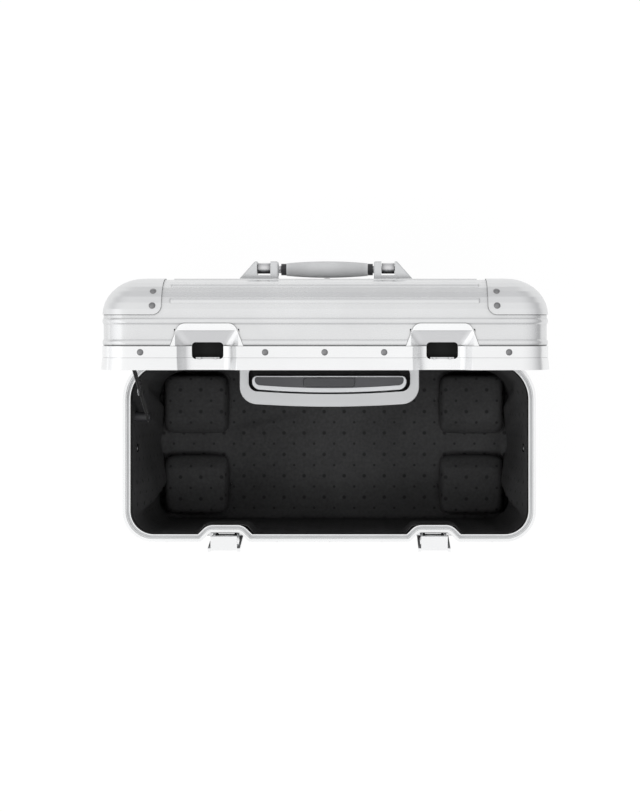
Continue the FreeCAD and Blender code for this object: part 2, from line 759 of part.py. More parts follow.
def latch_claw(x):
    axis = claw_axis(x)
    inner = LEVER_HALF + JOINT_GAP
    outer = inner + CLAW_ARM
    back = axis.y + CLAW_ARM_WIDTH / 2
    tip_z = LID_Z + HOLE_LOW + CATCH_BAR + JOINT_GAP
    top = tip_z + CLAW_TIP
    arms = []
    for side in (-1, 1):
        xs = sorted((x + side * inner, x + side * outer))
        arm = slab(xs[0], xs[1], back - CLAW_ARM_WIDTH, back, axis.z, top)
        eye = rod(CLAW_ARM_WIDTH / 2, Vec(xs[0], axis.y, axis.z), Vec(xs[1], axis.y, axis.z))
        arms.append(arm.fuse(eye))
    plate = slab(x - outer, x + outer, back - CLAW_PLATE, back, RIM_Z - CLAW_FOOT_DROP, top)
    reach = LID_FACE_Y + JOG_DEPTH + CLAW_REACH
    tip = slab(x - CLAW_TIP_HALF, x + CLAW_TIP_HALF, back - CLAW_PLATE, reach, tip_z, top)
    claw = arms[0].fuse([arms[1], plate, tip]).removeSplitter()
    bore = rod(LATCH_PIN, axis - ALONG_X * outer * 2, axis + ALONG_X * outer * 2)
    return one(claw.cut(bore))


# Hinges: alternate knuckles on one pin, on each side of the alcove
def hinge_leaves(side):
    step = HINGE_LENGTH / HINGE_KNUCKLES
    x0 = HINGE_INNER_X
    x1 = x0 + HINGE_LENGTH
    body = slab(x0, x1, REAR_Y, REAR_Y + HINGE_LEAF, RIM_Z - HINGE_LEAF_DROP, RIM_Z - JOINT_GAP)
    lid = slab(x0, x1, LID_REAR_Y, LID_REAR_Y + HINGE_LEAF, HINGE_Z + HINGE_WEB / 2,
               HINGE_Z + HINGE_LEAF_RISE)
    for i in range(HINGE_KNUCKLES):
        a = x0 + step * i + (JOINT_GAP / 2 if i else 0)
        b = x0 + step * (i + 1) - (JOINT_GAP / 2 if i < HINGE_KNUCKLES - 1 else 0)
        barrel = rod(HINGE_BARREL, Vec(a, HINGE_Y, HINGE_Z), Vec(b, HINGE_Y, HINGE_Z))
        if i % 2 == 0:
            web = slab(a, b, REAR_Y, REAR_Y + HINGE_LEAF, RIM_Z - HINGE_LEAF_DROP, HINGE_Z)
            body = body.fuse([barrel, web])
        else:
            web = slab(a, b, LID_REAR_Y, HINGE_Y, HINGE_Z + HINGE_WEB / 2, HINGE_Z + HINGE_WEB * 3 / 2)
            lid = lid.fuse([barrel, web])
    bore = rod(HINGE_PIN + RUNNING_FIT, Vec(0, HINGE_Y, HINGE_Z), Vec(SIDE_X, HINGE_Y, HINGE_Z))
    body = drilled(body.cut(bore), hinge_rivet_spots(REAR_Y, RIM_Z - HINGE_LEAF_DROP * LEAF_RIVET_SHARE))
    lid = drilled(lid.cut(bore), hinge_rivet_spots(LID_REAR_Y, hinge_lid_rivet_z()))
    body, lid = one(body.removeSplitter()), one(lid.removeSplitter())
    pin = rod(HINGE_PIN, Vec(x0, HINGE_Y, HINGE_Z), Vec(x1, HINGE_Y, HINGE_Z))
    pieces = (body, lid, pin)
    return pieces if side > 0 else tuple(mirrored_x(p) for p in pieces)


def hinge_lid_rivet_z():
    return HINGE_Z + HINGE_LEAF_RISE * LEAF_RIVET_SHARE


# Lid, modelled closed on the rim and then turned open about the hinge line
def lid_base():
    return LID_INSET + BAND + FIT


def lid_solid():
    return pillow(lid_base(), LID_Z + BEAD_HEIGHT + FIT, LID_TOP, LID_BEND_IN, LID_BEND_UP)


def alcove_block(grow, front):
    half = ALCOVE_HALF + grow
    return slab(-half, half, front, REAR_Y + OVERRUN, RIM_Z - OVERRUN, LID_TOP + OVERRUN)


def bracket_pads():
    """Flat places on the lid top under the handle brackets and the bumper."""
    pads = []
    half = BRACKET_DEPTH / 2 + RIB_HEIGHT
    for side in (-1, 1):
        xs = sorted((side * (BRACKET_INNER - RIB_HEIGHT), side * (BRACKET_OUTER + RIB_HEIGHT)))
        pads.append(slab(xs[0], xs[1], HANDLE_PIVOT_Y - half, HANDLE_PIVOT_Y + half,
                         LID_TOP, LID_TOP + OVERRUN))
    spot = BUMPER_RADIUS + RIB_HEIGHT
    y = HANDLE_PIVOT_Y + HANDLE_REACH
    pads.append(slab(-spot, spot, y - spot, y + spot, LID_TOP, LID_TOP + OVERRUN))
    return pads


def keeper_trough(x, wall):
    low = LID_Z - OVERRUN
    deep = LID_Z + LID_FRAME_HEIGHT + FIT
    return trough(x, lid_base(), wall, low, deep, deep + KEEPER_SCOOP + wall)


def keeper_plate(x, grow, y0, y1):
    z0 = LID_Z + LID_FRAME_HEIGHT + FIT
    return plate_outline(x, KEEPER_FOOT_HALF + grow, KEEPER_HEAD_HALF + grow, z0 - grow,
                         z0 + KEEPER_HEIGHT + grow, y0, y1)


def keeper_hole(x):
    low = LID_Z + HOLE_LOW
    high = LID_Z + HOLE_HIGH
    corners = [(x - HOLE_HALF, low, HOLE_ROUND), (x + HOLE_HALF, low, HOLE_ROUND),
               (x + HOLE_HALF, high, HOLE_ROUND), (x - HOLE_HALF, high, HOLE_ROUND)]
    far = FACE_Y + LID_INSET + OVERRUN
    hole = Part.Face(rounded_wire(corners, 0)).extrude(Vec(0, 0, LID_INSET + OVERRUN * 2))
    hole.rotate(Vec(0, 0, 0), ALONG_X, 90)
    hole.translate(Vec(0, far, 0))
    return hole


def lid_rivet_z():
    return LID_Z + (BEAD_HEIGHT + LID_FRAME_HEIGHT) / 2


def lid_shell():
    base = lid_base()
    half_x = SIDE_X - LID_INSET - GUARD_LENGTH - RIB_PITCH / 2
    half_y = REAR_Y - LID_INSET - GUARD_DEPTH - RIB_PITCH / 2
    ribs = [wall_rib(base, LID_Z + LID_FIRST_RIB + RIB_PITCH * i) for i in range(2)]
    ribs += bend_ribs(base, LID_TOP, 1, LID_BEND_IN, LID_BEND_UP, LID_BEND_RIB_SHARES, half_x, half_y)
    ribs += flat_ribs(base, LID_TOP, 1, LID_BEND_IN, LID_TOP_RIBS - 2, half_x)
    keep_out = guard_region(base, LID_TOP, 1, FIT) + bracket_pads()
    solid = lid_solid().fuse([r.cut(keep_out) for r in ribs])
    inner = pillow(base + SHEET, RIM_Z - OVERRUN, LID_TOP - SHEET, LID_BEND_IN - SHEET,
                   LID_BEND_UP - SHEET)
    shell = solid.cut(inner).cut(alcove_block(ALCOVE_WALL + FIT, ALCOVE_FRONT - ALCOVE_WALL - FIT))
    for x in (-LATCH_X, LATCH_X):
        mouth = trough_mouth(base)
        z1 = LID_Z + LID_FRAME_HEIGHT + KEEPER_SCOOP + SHEET + FIT * 2
        hole = slab(x - mouth, x + mouth, FACE_Y - OVERRUN, FACE_Y + OVERRUN, LID_Z, z1)
        shell = shell.cut(hole).cut(keeper_plate(x, KEEPER_SEAM, FACE_Y - OVERRUN, FACE_Y + base))
    shell = drilled(shell, frame_rivet_spots(LID_INSET, lid_rivet_z()))
    shell = drilled(shell, hinge_rivet_spots(LID_REAR_Y, hinge_lid_rivet_z()))
    shell = drilled(shell, guard_rivet_spots(base, LID_TOP, 1, LID_BEND_IN, LID_BEND_UP))
    return one(shell)


def lid_frame():
    outline = inset(JOGGED, LID_INSET)
    bead = flared(outline, -BEAD_FLARE, LID_Z, 0, LID_Z + BEAD_HEIGHT)
    core = prism(inset(outline, LID_FRAME_WIDTH), LID_Z - OVERRUN, LID_Z + BEAD_HEIGHT + OVERRUN)
    bead = bead.cut(core)
    z = LID_Z + BEAD_HEIGHT
    step = ring(outline, BEAD_GROOVE, BAND, z, z + BEAD_GROOVE)
    band = ring(outline, 0, BAND, z + BEAD_GROOVE, LID_Z + LID_FRAME_HEIGHT)
    inner = BAND + FIT + SHEET + FIT
    leg = ring(outline, inner, inner + LEG, z, LID_Z + LID_LEG_HEIGHT)
    frame = bead.fuse([step, band, leg]).removeSplitter()
    frame = frame.cut(alcove_block(BEZEL_HALF - ALCOVE_HALF + JOINT_GAP, ALCOVE_FRONT))
    for side in (-1, 1):
        xs = sorted((side * (HINGE_INNER_X - JOINT_GAP), side * (HINGE_INNER_X + HINGE_LENGTH + JOINT_GAP)))
        frame = frame.cut(slab(xs[0], xs[1], LID_REAR_Y, REAR_Y + OVERRUN, RIM_Z - OVERRUN, LID_TOP))
    frame = frame.cut([keeper_hole(x) for x in (-LATCH_X, LATCH_X)])
    frame = drilled(frame, frame_rivet_spots(LID_INSET, lid_rivet_z()))
    frame = drilled(frame, hinge_rivet_spots(LID_REAR_Y, hinge_lid_rivet_z()))
    return one(frame)


def lid_rivets():
    grip = BAND + SHEET + LEG
    rivets = [rivet(p, o, grip) for p, o in frame_rivet_spots(LID_INSET, lid_rivet_z())]
    hinge = hinge_rivet_spots(LID_REAR_Y + HINGE_LEAF, hinge_lid_rivet_z())
    rivets += [rivet(p, o, grip) for p, o in hinge]
    for p, o in guard_rivet_spots(lid_base(), LID_TOP, 1, LID_BEND_IN, LID_BEND_UP):
        rivets.append(rivet(p + o * (GUARD + FIT), o, GUARD + FIT + SHEET))
    return rivets


def lid_guards():
    return [one(g) for g in guards(lid_base(), RIM_Z, LID_TOP, 1, LID_BEND_IN, LID_BEND_UP)]


def latch_keeper(x):
    face = FACE_Y + lid_base()
    behind = slab(x - RIM_DEPTH, x + RIM_DEPTH, face, 0, LID_Z + BEAD_HEIGHT + FIT, LID_TOP)
    skin = keeper_trough(x, SHEET).common(behind)
    plate = keeper_plate(x, 0, face - PLATE, face)
    return one(skin.fuse(plate).cut(keeper_trough(x, 0)).cut(keeper_hole(x)))


def catch_bar(x):
    """Steel bar behind the foot of the keeper hole, with two nubs."""
    y0 = LID_FACE_Y + JOG_DEPTH
    z0 = LID_Z + HOLE_LOW
    half = HOLE_HALF - HOLE_ROUND
    bar = slab(x - half, x + half, y0 + FIT, y0 + BAND + SHEET, z0, z0 + CATCH_BAR)
    nubs = [rod(CATCH_NUB, Vec(x + s * CATCH_NUB_X, y0 - BAND, z0 + CATCH_NUB),
                Vec(x + s * CATCH_NUB_X, y0 + BAND, z0 + CATCH_NUB)) for s in (-1, 1)]
    cut = slab(x - HOLE_HALF, x + HOLE_HALF, y0 - OVERRUN, y0 + OVERRUN, z0 + CATCH_BAR, z0 + OVERRUN)
    return one(bar.fuse(nubs).cut(cut))


def alcove_liner():
    wall = lid_solid().common(alcove_block(ALCOVE_WALL, ALCOVE_FRONT - ALCOVE_WALL))
    skirt = slab(-ALCOVE_HALF - ALCOVE_WALL, ALCOVE_HALF + ALCOVE_WALL, ALCOVE_FRONT - ALCOVE_WALL,
                 LID_REAR_Y, RIM_Z, LID_Z + BEAD_HEIGHT + FIT)
    return one(wall.fuse(skirt).removeSplitter().cut(alcove_block(0, ALCOVE_FRONT)))


def lid_lining():
    base = LID_LINING_INSET
    low = LID_Z + LID_LEG_HEIGHT + FIT
    outer = pillow(base, low, LID_TOP - SHEET - FIT, LID_BEND_IN - SHEET, LID_BEND_UP - SHEET)
    inner = pillow(base + LINING, low - OVERRUN, LID_TOP - SHEET - FIT - LINING,
                   LID_BEND_IN - SHEET - LINING, LID_BEND_UP - SHEET - LINING)
    lining = outer.cut(inner)
    lining = lining.cut(alcove_block(ALCOVE_WALL + FIT, ALCOVE_FRONT - ALCOVE_WALL - FIT))
    for x in (-LATCH_X, LATCH_X):
        mouth = KEEPER_FOOT_HALF
        z1 = LID_Z + LID_FRAME_HEIGHT + KEEPER_HEIGHT
        lining = lining.cut(slab(x - mouth, x + mouth, FACE_Y, FACE_Y + OVERRUN * 2, LID_Z, z1))
    return one(lining)


# Carry handle: two brackets, a steel bail folded to the rear, a barrel grip
def handle_bracket():
    y0 = HANDLE_PIVOT_Y - BRACKET_DEPTH / 2
    points = [(BRACKET_INNER, 0), (BRACKET_OUTER, 0), (BRACKET_SHOULDER, BRACKET_HEIGHT),
              (BRACKET_INNER, BRACKET_HEIGHT)]
    wire = Part.makePolygon([Vec(x, y0, LID_TOP + z) for x, z in points + points[:1]])
    block = Part.Face(wire).extrude(Vec(0, BRACKET_DEPTH, 0))
    rims = [e for e in block.Edges if e.BoundBox.ZMin > LID_TOP + FIT or
            e.BoundBox.ZMax > LID_TOP + FIT]
    block = block.makeFillet(BRACKET_EDGE, rims)
    slot = slab(SLOT_INNER, SLOT_OUTER, y0 - OVERRUN, y0 + BRACKET_DEPTH + OVERRUN,
                LID_TOP + SLOT_FLOOR, LID_TOP + BRACKET_HEIGHT + OVERRUN)
    return one(block.cut(slot).cut(handle_pin(RUNNING_FIT)))


def handle_axis(x):
    return Vec(x, HANDLE_PIVOT_Y, LID_TOP + HANDLE_PIVOT_UP)


def handle_pin(grow):
    edge = (BRACKET_INNER + SLOT_INNER) / 2
    return rod(HANDLE_PIN + grow, handle_axis(edge - grow), handle_axis(BRACKET_SHOULDER + grow))


def handle_path():
    z = LID_TOP + HANDLE_PIVOT_UP
    x = (SLOT_INNER + SLOT_OUTER) / 2
    y0 = HANDLE_PIVOT_Y
    y1 = y0 + HANDLE_REACH
    curve = HANDLE_CURVE
    turn_at = math.sqrt(0.5)
    edges = []
    for side in (1, -1):
        start = Vec(side * x, y0, z)
        bend = Vec(side * x, y1 - curve, z)
        middle = Vec(side * (x - curve * (1 - turn_at)), y1 - curve * (1 - turn_at), z)
        end = Vec(side * (x - curve), y1, z)
        edges.append([Part.makeLine(start, bend), Part.Arc(bend, middle, end).toShape()])
    across = Part.makeLine(Vec(x - curve, y1, z), Vec(curve - x, y1, z))
    return Part.Wire(Part.__sortEdges__(edges[0] + [across] + edges[1]))


def handle_bail():
    path = handle_path()
    x = (SLOT_INNER + SLOT_OUTER) / 2
    half = (SLOT_OUTER - SLOT_INNER) / 2 - JOINT_GAP
    circle = Part.Wire(Part.makeCircle(HANDLE_ROD, handle_axis(x), ALONG_Y))
    bail = path.makePipeShell([circle], True, False)
    for side in (-1, 1):
        eye = rod(HANDLE_EYE, handle_axis(side * x - half), handle_axis(side * x + half))
        bail = bail.fuse(eye)
    bore = rod(HANDLE_PIN + RUNNING_FIT, handle_axis(-SIDE_X), handle_axis(SIDE_X))
    return one(bail.removeSplitter().cut(bore))


def handle_grip():
    y = HANDLE_PIVOT_Y + HANDLE_REACH
    z = LID_TOP + HANDLE_PIVOT_UP
    half = GRIP_LENGTH_HALF
    inner = HANDLE_ROD + RUNNING_FIT
    ends = [Vec(-half, y, z + inner), Vec(-half, y, z + GRIP_END_RADIUS)]
    far = [Vec(half, y, z + GRIP_END_RADIUS), Vec(half, y, z + inner)]
    crown = Part.Arc(ends[1], Vec(0, y, z + GRIP_MID_RADIUS), far[0]).toShape()
    edges = [Part.makeLine(ends[0], ends[1]), crown, Part.makeLine(far[0], far[1]),
             Part.makeLine(far[1], ends[0])]
    return one(Part.Face(Part.Wire(edges)).revolve(Vec(0, y, z), ALONG_X, 360))


def handle_collar(side):
    y = HANDLE_PIVOT_Y + HANDLE_REACH
    z = LID_TOP + HANDLE_PIVOT_UP
    a = Vec(side * (GRIP_LENGTH_HALF + FIT), y, z)
    b = Vec(side * (GRIP_LENGTH_HALF + COLLAR_LENGTH), y, z)
    return one(rod(COLLAR_RADIUS, a, b).cut(rod(HANDLE_ROD + RUNNING_FIT, a, b)))


def handle_bumper():
    y = HANDLE_PIVOT_Y + HANDLE_REACH
    height = HANDLE_PIVOT_UP - GRIP_MID_RADIUS - BUMPER_GAP
    return Part.makeCone(BUMPER_RADIUS, BUMPER_RADIUS * EDGE_SHARE, height, Vec(0, y, LID_TOP))


# Telescope handle
def bowed_outline(half, front, rear, corner, rear_corner):
    radius = (half - corner) * BOW_RUN_SHARE * half / (2 * BEZEL_BOW)
    return [(-half, front + BEZEL_BOW, corner), (0, front - BEZEL_BOW, radius),
            (half, front + BEZEL_BOW, corner), (half, rear, rear_corner), (-half, rear, rear_corner)]


def telescope_bezel():
    rear = REAR_Y - FRAME_WIDTH - FIT
    top = RIM_Z - BEZEL_TOP_DROP
    flange = prism(bowed_outline(BEZEL_HALF, BEZEL_FRONT, rear, BEZEL_CORNER, BEZEL_EDGE * 2),
                   top - BEZEL_FLANGE, top)
    upper = [e for e in flange.Edges if e.BoundBox.ZMin > top - FIT]
    flange = flange.makeFillet(BEZEL_EDGE, upper)
    half = BEZEL_HALF - BEZEL_SIDE
    corner = BEZEL_CORNER - BEZEL_SIDE
    well = bowed_outline(half, BEZEL_FRONT + BEZEL_BAR, rear - WELL_WALL, corner, corner)
    tub = prism(inset(well, -WELL_WALL), top - WELL_DEPTH - WELL_FLOOR, top - BEZEL_FLANGE / 2)
    bezel = flange.fuse(tub).cut(prism(well, top - WELL_DEPTH, top + OVERRUN))
    for side in (-1, 1):
        bezel = bezel.cut(rod(OUTER_TUBE + FIT, Vec(side * TUBE_X, TUBE_Y, top - WELL_DEPTH - OVERRUN),
                              Vec(side * TUBE_X, TUBE_Y, top)))
    return one(bezel.removeSplitter())


def tube(stage, side):
    """Stage 0 is fixed to the body; stages 1 to 3 slide inside one another."""
    step = TUBE_WALL + TUBE_GAP
    outer = OUTER_TUBE - stage * step
    low = TUBE_FOOT_Z + stage * STAGE_STEP
    high = RIM_Z - WELL_DEPTH + stage * STAGE_STEP
    if stage == 3:
        high = RIM_Z + GRIP_TOP - GRIP_HEIGHT
    a = Vec(side * TUBE_X, TUBE_Y, low)
    b = Vec(side * TUBE_X, TUBE_Y, high)
    return one(rod(outer, a, b).cut(rod(outer - TUBE_WALL, a, b)))


def tube_foot(side):
    x = side * TUBE_X
    low = BASE_Z + SHEET
    y0 = TUBE_Y - FOOT_HALF
    y1 = TUBE_Y + OUTER_TUBE / 2
    block = slab(x - FOOT_HALF, x + FOOT_HALF, y0, y1, low, TUBE_FOOT_Z + FOOT_HEIGHT)
    block = block.common(pillow(BAND + FIT + SHEET + FIT, RIM_Z, BASE_Z + SHEET,
                                BODY_BEND - SHEET, BODY_BEND - SHEET))
    seat = rod(OUTER_TUBE + FIT, Vec(x, TUBE_Y, TUBE_FOOT_Z), Vec(x, TUBE_Y, RIM_Z))
    return one(block.cut(seat))


def grip_outline(shrink):
    soft = GRIP_CORNER * SOFT_SHARE
    return inset(bowed_outline(GRIP_HALF, GRIP_FRONT, GRIP_REAR, GRIP_CORNER, soft), shrink)


def pad_outline(shrink):
    """Outline of the pad, set back so that the trim is widest in front."""
    return [(x, y + PAD_BACK, r) for x, y, r in grip_outline(PAD_INSET + shrink)]


def button_outline(shrink):
    mid = (GRIP_FRONT + GRIP_REAR) / 2 + PAD_BACK
    half = BUTTON_DEPTH / 2
    corners = [(-BUTTON_HALF, mid - half, half * SOFT_SHARE), (BUTTON_HALF, mid - half, half * SOFT_SHARE),
               (BUTTON_HALF, mid + half, half * SOFT_SHARE), (-BUTTON_HALF, mid + half, half * SOFT_SHARE)]
    return inset(corners, shrink)


def telescope_grip():
    top = RIM_Z + GRIP_TOP
    low = top - GRIP_HEIGHT
    block = prism(grip_outline(0), low, top)
    rims = [e for e in block.Edges if e.BoundBox.ZMin > top - FIT or e.BoundBox.ZMax < low + FIT]
    block = block.makeFillet(GRIP_EDGE, rims)
    tray = prism(pad_outline(0), top - PAD_SUNK, top + OVERRUN)
    pocket = prism(button_outline(-JOINT_GAP), top - PAD_SUNK - BUTTON_HEIGHT - BUTTON_TRAVEL, top + OVERRUN)
    return one(block.cut([tray, pocket]))


def telescope_pad():
    top = RIM_Z + GRIP_TOP
    pad = prism(pad_outline(FIT), top - PAD_SUNK, top + PAD_PROUD)
    rims = [e for e in pad.Edges if e.BoundBox.ZMin > top + PAD_PROUD - FIT]
    pad = pad.makeFillet(PAD_PROUD, rims)
    return one(pad.cut(prism(button_outline(-JOINT_GAP), top - OVERRUN, top + OVERRUN)))


def telescope_button():
    top = RIM_Z + GRIP_TOP + PAD_PROUD + BUTTON_PROUD
    button = prism(button_outline(0), RIM_Z + GRIP_TOP - PAD_SUNK - BUTTON_HEIGHT, top)
    rims = [e for e in button.Edges if e.BoundBox.ZMin > top - FIT]
    return one(button.makeFillet(BUTTON_PROUD * EDGE_SHARE, rims))


# Lining and its covers, plain solids for soft pieces
def body_lining():
    top = RIM_Z - LEG_DROP - FIT
    low = BASE_Z + SHEET + LINING_FLOOR_GAP
    bend = BODY_BEND - LINING_INSET + BAND + SHEET
    outer = pillow(LINING_INSET, top, low, bend, bend)
    inner = pillow(LINING_INSET + LINING, top + OVERRUN, low + LINING, bend - LINING, bend - LINING)
    lining = outer.cut(inner)
    for x in (-LATCH_X, LATCH_X):
        mouth = PAN_PLATE_HALF
        lining = lining.cut(slab(x - mouth, x + mouth, FACE_Y, FACE_Y + OVERRUN,
                                 RIM_Z - PAN_DROP - PAN_SLOPE - OVERRUN / 2, RIM_Z))
    channel = slab(-CHANNEL_HALF, CHANNEL_HALF, CHANNEL_FRONT, REAR_Y, BASE_Z, RIM_Z)
    lining = lining.cut(channel)
    return one(lining.cut(wheel_openings(HOUSING_INNER + HOUSING_WALL + FIT, BASE_Z + BODY_BEND)))


def wheel_hump(x, y):
    reach = HOUSING_INNER + HOUSING_WALL + FIT
    half = reach + HUMP_WALL
    low = BASE_Z + SHEET + LINING_FLOOR_GAP + LINING
    corners = [(x - half, y - half, HUMP_ROUND), (x + half, y - half, HUMP_ROUND),
               (x + half, y + half, HUMP_ROUND), (x - half, y + half, HUMP_ROUND)]
    block = prism(corners, low, HUMP_TOP)
    rims = [e for e in block.Edges if e.BoundBox.ZMin > HUMP_TOP - FIT]
    block = block.makeFillet(HUMP_ROUND * EDGE_SHARE, rims)
    block = block.cut(rod(reach, Vec(x, y, BASE_Z), Vec(x, y, HOUSING_ROOF + HOUSING_PLATE + FIT)))
    block = block.cut(rod(BOSS_RADIUS + FIT, Vec(x, y, BASE_Z), Vec(x, y, BOSS_TOP + FIT)))
    bend = BODY_BEND - LINING_INSET + BAND + SHEET
    room = pillow(LINING_INSET + LINING + FIT, RIM_Z, low, bend - LINING, bend - LINING)
    return one(block.common(room))


def latch_cover(x):
    low = RIM_Z - PAN_DROP
    end = low - PAN_SLOPE
    top = RIM_Z - LEG_DROP - FIT
    base = BAND + FIT
    wall = SHEET + FIT + LEG + FIT
    behind = slab(x - RIM_DEPTH, x + RIM_DEPTH, FACE_Y + LINING_INSET, 0, BASE_Z, RIM_Z)
    outer = trough(x, base, wall + COVER_WALL, top, low, end - wall - COVER_WALL).common(behind)
    inside = slab(x - PAN_PLATE_HALF + FIT, x + PAN_PLATE_HALF - FIT, FACE_Y, 0,
                  RIM_Z - PAN_DROP - PAN_SLOPE - OVERRUN / 2 + FIT, RIM_Z)
    return one(outer.common(inside).cut(trough(x, base, wall, top + OVERRUN, low, end - wall)))


def telescope_cover():
    """Panel over the tubes, from the bezel to the floor of the lining."""
    top = RIM_Z - BEZEL_TOP_DROP - WELL_DEPTH - WELL_FLOOR - FIT
    low = BASE_Z + SHEET + LINING_FLOOR_GAP
    half = CHANNEL_HALF - FIT
    block = slab(-half, half, CHANNEL_FRONT + FIT, REAR_Y, low, top)
    room = pillow(LINING_INSET, RIM_Z, low, BODY_BEND - LINING_INSET, BODY_BEND - LINING_INSET)
    block = block.common(room)
    hollow = slab(-half + COVER_WALL, half - COVER_WALL, CHANNEL_FRONT + FIT + COVER_WALL,
                  REAR_Y + OVERRUN, BASE_Z, RIM_Z)
    return one(block.cut(hollow))


def wall_stud(side):
    z = RIM_Z - STUD_DROP
    x = SIDE_X - LINING_INSET - LINING
    start = Vec(side * x, 0, z)
    cap = rod(STUD_RADIUS, start, Vec(side * (x - STUD_RISE), 0, z))
    rims = [e for e in cap.Edges if abs(abs(e.CenterOfMass.x) - x + STUD_RISE) < FIT]
    return one(cap.makeFillet(STUD_RISE * SOFT_SHARE, rims[:1]))


# Lid strap: a foot part and a head part joined at a slider
def strap_ends():
    foot = Vec(-STRAP_X, STRAP_FOOT_Y, RIM_Z - STRAP_FOOT_DROP)
    head = Vec(-STRAP_X, STRAP_HEAD_Y, RIM_Z + STRAP_HEAD_UP)
    turned = opened(Part.Vertex(head)).Point
    return foot, turned


def along_strap(a, b, width, thick):
    """Flat bar from a to b, its thickness along X."""
    run = b - a
    bar = Part.makeBox(thick, width, run.Length, Vec(-thick / 2, -width / 2, 0))
    lean = math.degrees(math.atan2(run.y, run.z))
    bar.rotate(Vec(0, 0, 0), ALONG_X, -lean)
    bar.translate(a)
    return bar


def strap_pieces():
    foot, head = strap_ends()
    run = (head - foot).normalize()
    total = (head - foot).Length
    mid = total * STRAP_SLIDER_SHARE
    half = SLIDER_LENGTH / 2
    lower = along_strap(foot, foot + run * (mid - half), STRAP_WIDTH, STRAP_THICK)
    upper = along_strap(foot + run * (mid + half), head, STRAP_WIDTH, STRAP_THICK)
    slider = along_strap(foot + run * (mid - half), foot + run * (mid + half), SLIDER_WIDTH, SLIDER_THICK)
    edges = [e for e in slider.Edges if e.Length > SLIDER_LENGTH - FIT]
    slider = slider.makeFillet(SLIDER_THICK / 4, edges)
    hole_a = rod(ANCHOR_PIN + FIT, foot - ALONG_X * OVERRUN, foot + ALONG_X * OVERRUN)
    hole_b = rod(ANCHOR_PIN + FIT, head - ALONG_X * OVERRUN, head + ALONG_X * OVERRUN)
    tail = rod(STRAP_WIDTH / 2, foot - ALONG_X * STRAP_THICK / 2, foot + ALONG_X * STRAP_THICK / 2)
    crown = rod(STRAP_WIDTH / 2, head - ALONG_X * STRAP_THICK / 2, head + ALONG_X * STRAP_THICK / 2)
    return one(lower.fuse(tail).cut(hole_a)), one(upper.fuse(crown).cut(hole_b)), slider


def strap_anchor(point, wall_x):
    """Round plate on the wall, with a pin and head that hold the strap's end."""
    near = Vec(-STRAP_X - STRAP_THICK / 2 - FIT, point.y, point.z)
    far = Vec(-wall_x, point.y, point.z)
    tip = Vec(-STRAP_X + STRAP_THICK / 2 + FIT, point.y, point.z)
    head = tip + ALONG_X * STRAP_THICK
    plate = rod(ANCHOR_RADIUS, far, near)
    return one(plate.fuse([rod(ANCHOR_PIN, near, tip), rod(ANCHOR_RADIUS * EDGE_SHARE, tip, head)]))


# Casters: a housing in the body, a swivel fork, an axle and two wheels
def wheel_housing(x, y):
    low = BASE_Z - HOUSING_LIP
    outer = HOUSING_INNER + HOUSING_WALL
    cup = rod(outer, Vec(x, y, low), Vec(x, y, HOUSING_ROOF + HOUSING_PLATE))
    flange = rod(outer + HOUSING_FLANGE, Vec(x, y, low), Vec(x, y, BASE_Z))
    flange = flange.cut(pillow(BAND, RIM_Z, BASE_Z, BODY_BEND, BODY_BEND))
    boss = rod(BOSS_RADIUS, Vec(x, y, HOUSING_ROOF), Vec(x, y, BOSS_TOP))
    housing = cup.fuse([flange, boss]).cut(rod(HOUSING_INNER, Vec(x, y, 0), Vec(x, y, HOUSING_ROOF)))
    return one(housing.cut(rod(BEARING_OUTER, Vec(x, y, 0), Vec(x, y, BOSS_TOP - HOUSING_WALL))))


def swivel_bearing(x, y):
    z0 = HOUSING_ROOF
    z1 = BOSS_TOP - HOUSING_WALL - FIT
    race = rod(BEARING_OUTER - RUNNING_FIT, Vec(x, y, z0), Vec(x, y, z1))
    return one(race.cut(rod(STEM_RADIUS, Vec(x, y, 0), Vec(x, y, BOSS_TOP))))


def caster_fork(x, y):
    stem_top = BOSS_TOP - HOUSING_WALL - JOINT_GAP
    stem = rod(STEM_RADIUS - RUNNING_FIT, Vec(x, y, CROWN_LOW), Vec(x, y, stem_top))
    crown = rod(CROWN_RADIUS, Vec(x, y, CROWN_LOW), Vec(x, y, CROWN_HIGH))
    crown = crown.makeFillet(LEG_HALF * EDGE_SHARE, [e for e in crown.Edges if e.Closed][:2])
    hub_y = y + TRAIL
    hub = rod(LEG_HUB, Vec(x - LEG_HALF, hub_y, WHEEL_RADIUS), Vec(x + LEG_HALF, hub_y, WHEEL_RADIUS))
    leg = [Vec(x - LEG_HALF, hub_y - LEG_HUB, WHEEL_RADIUS), Vec(x - LEG_HALF, hub_y + LEG_HUB, WHEEL_RADIUS),
           Vec(x - LEG_HALF, y + CROWN_RADIUS * EDGE_SHARE, CROWN_LOW + LEG_HALF),
           Vec(x - LEG_HALF, y - CROWN_RADIUS / 2, CROWN_LOW + LEG_HALF)]
    web = Part.Face(Part.makePolygon(leg + leg[:1])).extrude(Vec(LEG_HALF * 2, 0, 0))
    fork = stem.fuse([crown, hub, web]).removeSplitter()
    bore = rod(AXLE_RADIUS, Vec(x - CASTER_Y, hub_y, WHEEL_RADIUS), Vec(x + CASTER_Y, hub_y, WHEEL_RADIUS))
    return one(fork.cut(bore))


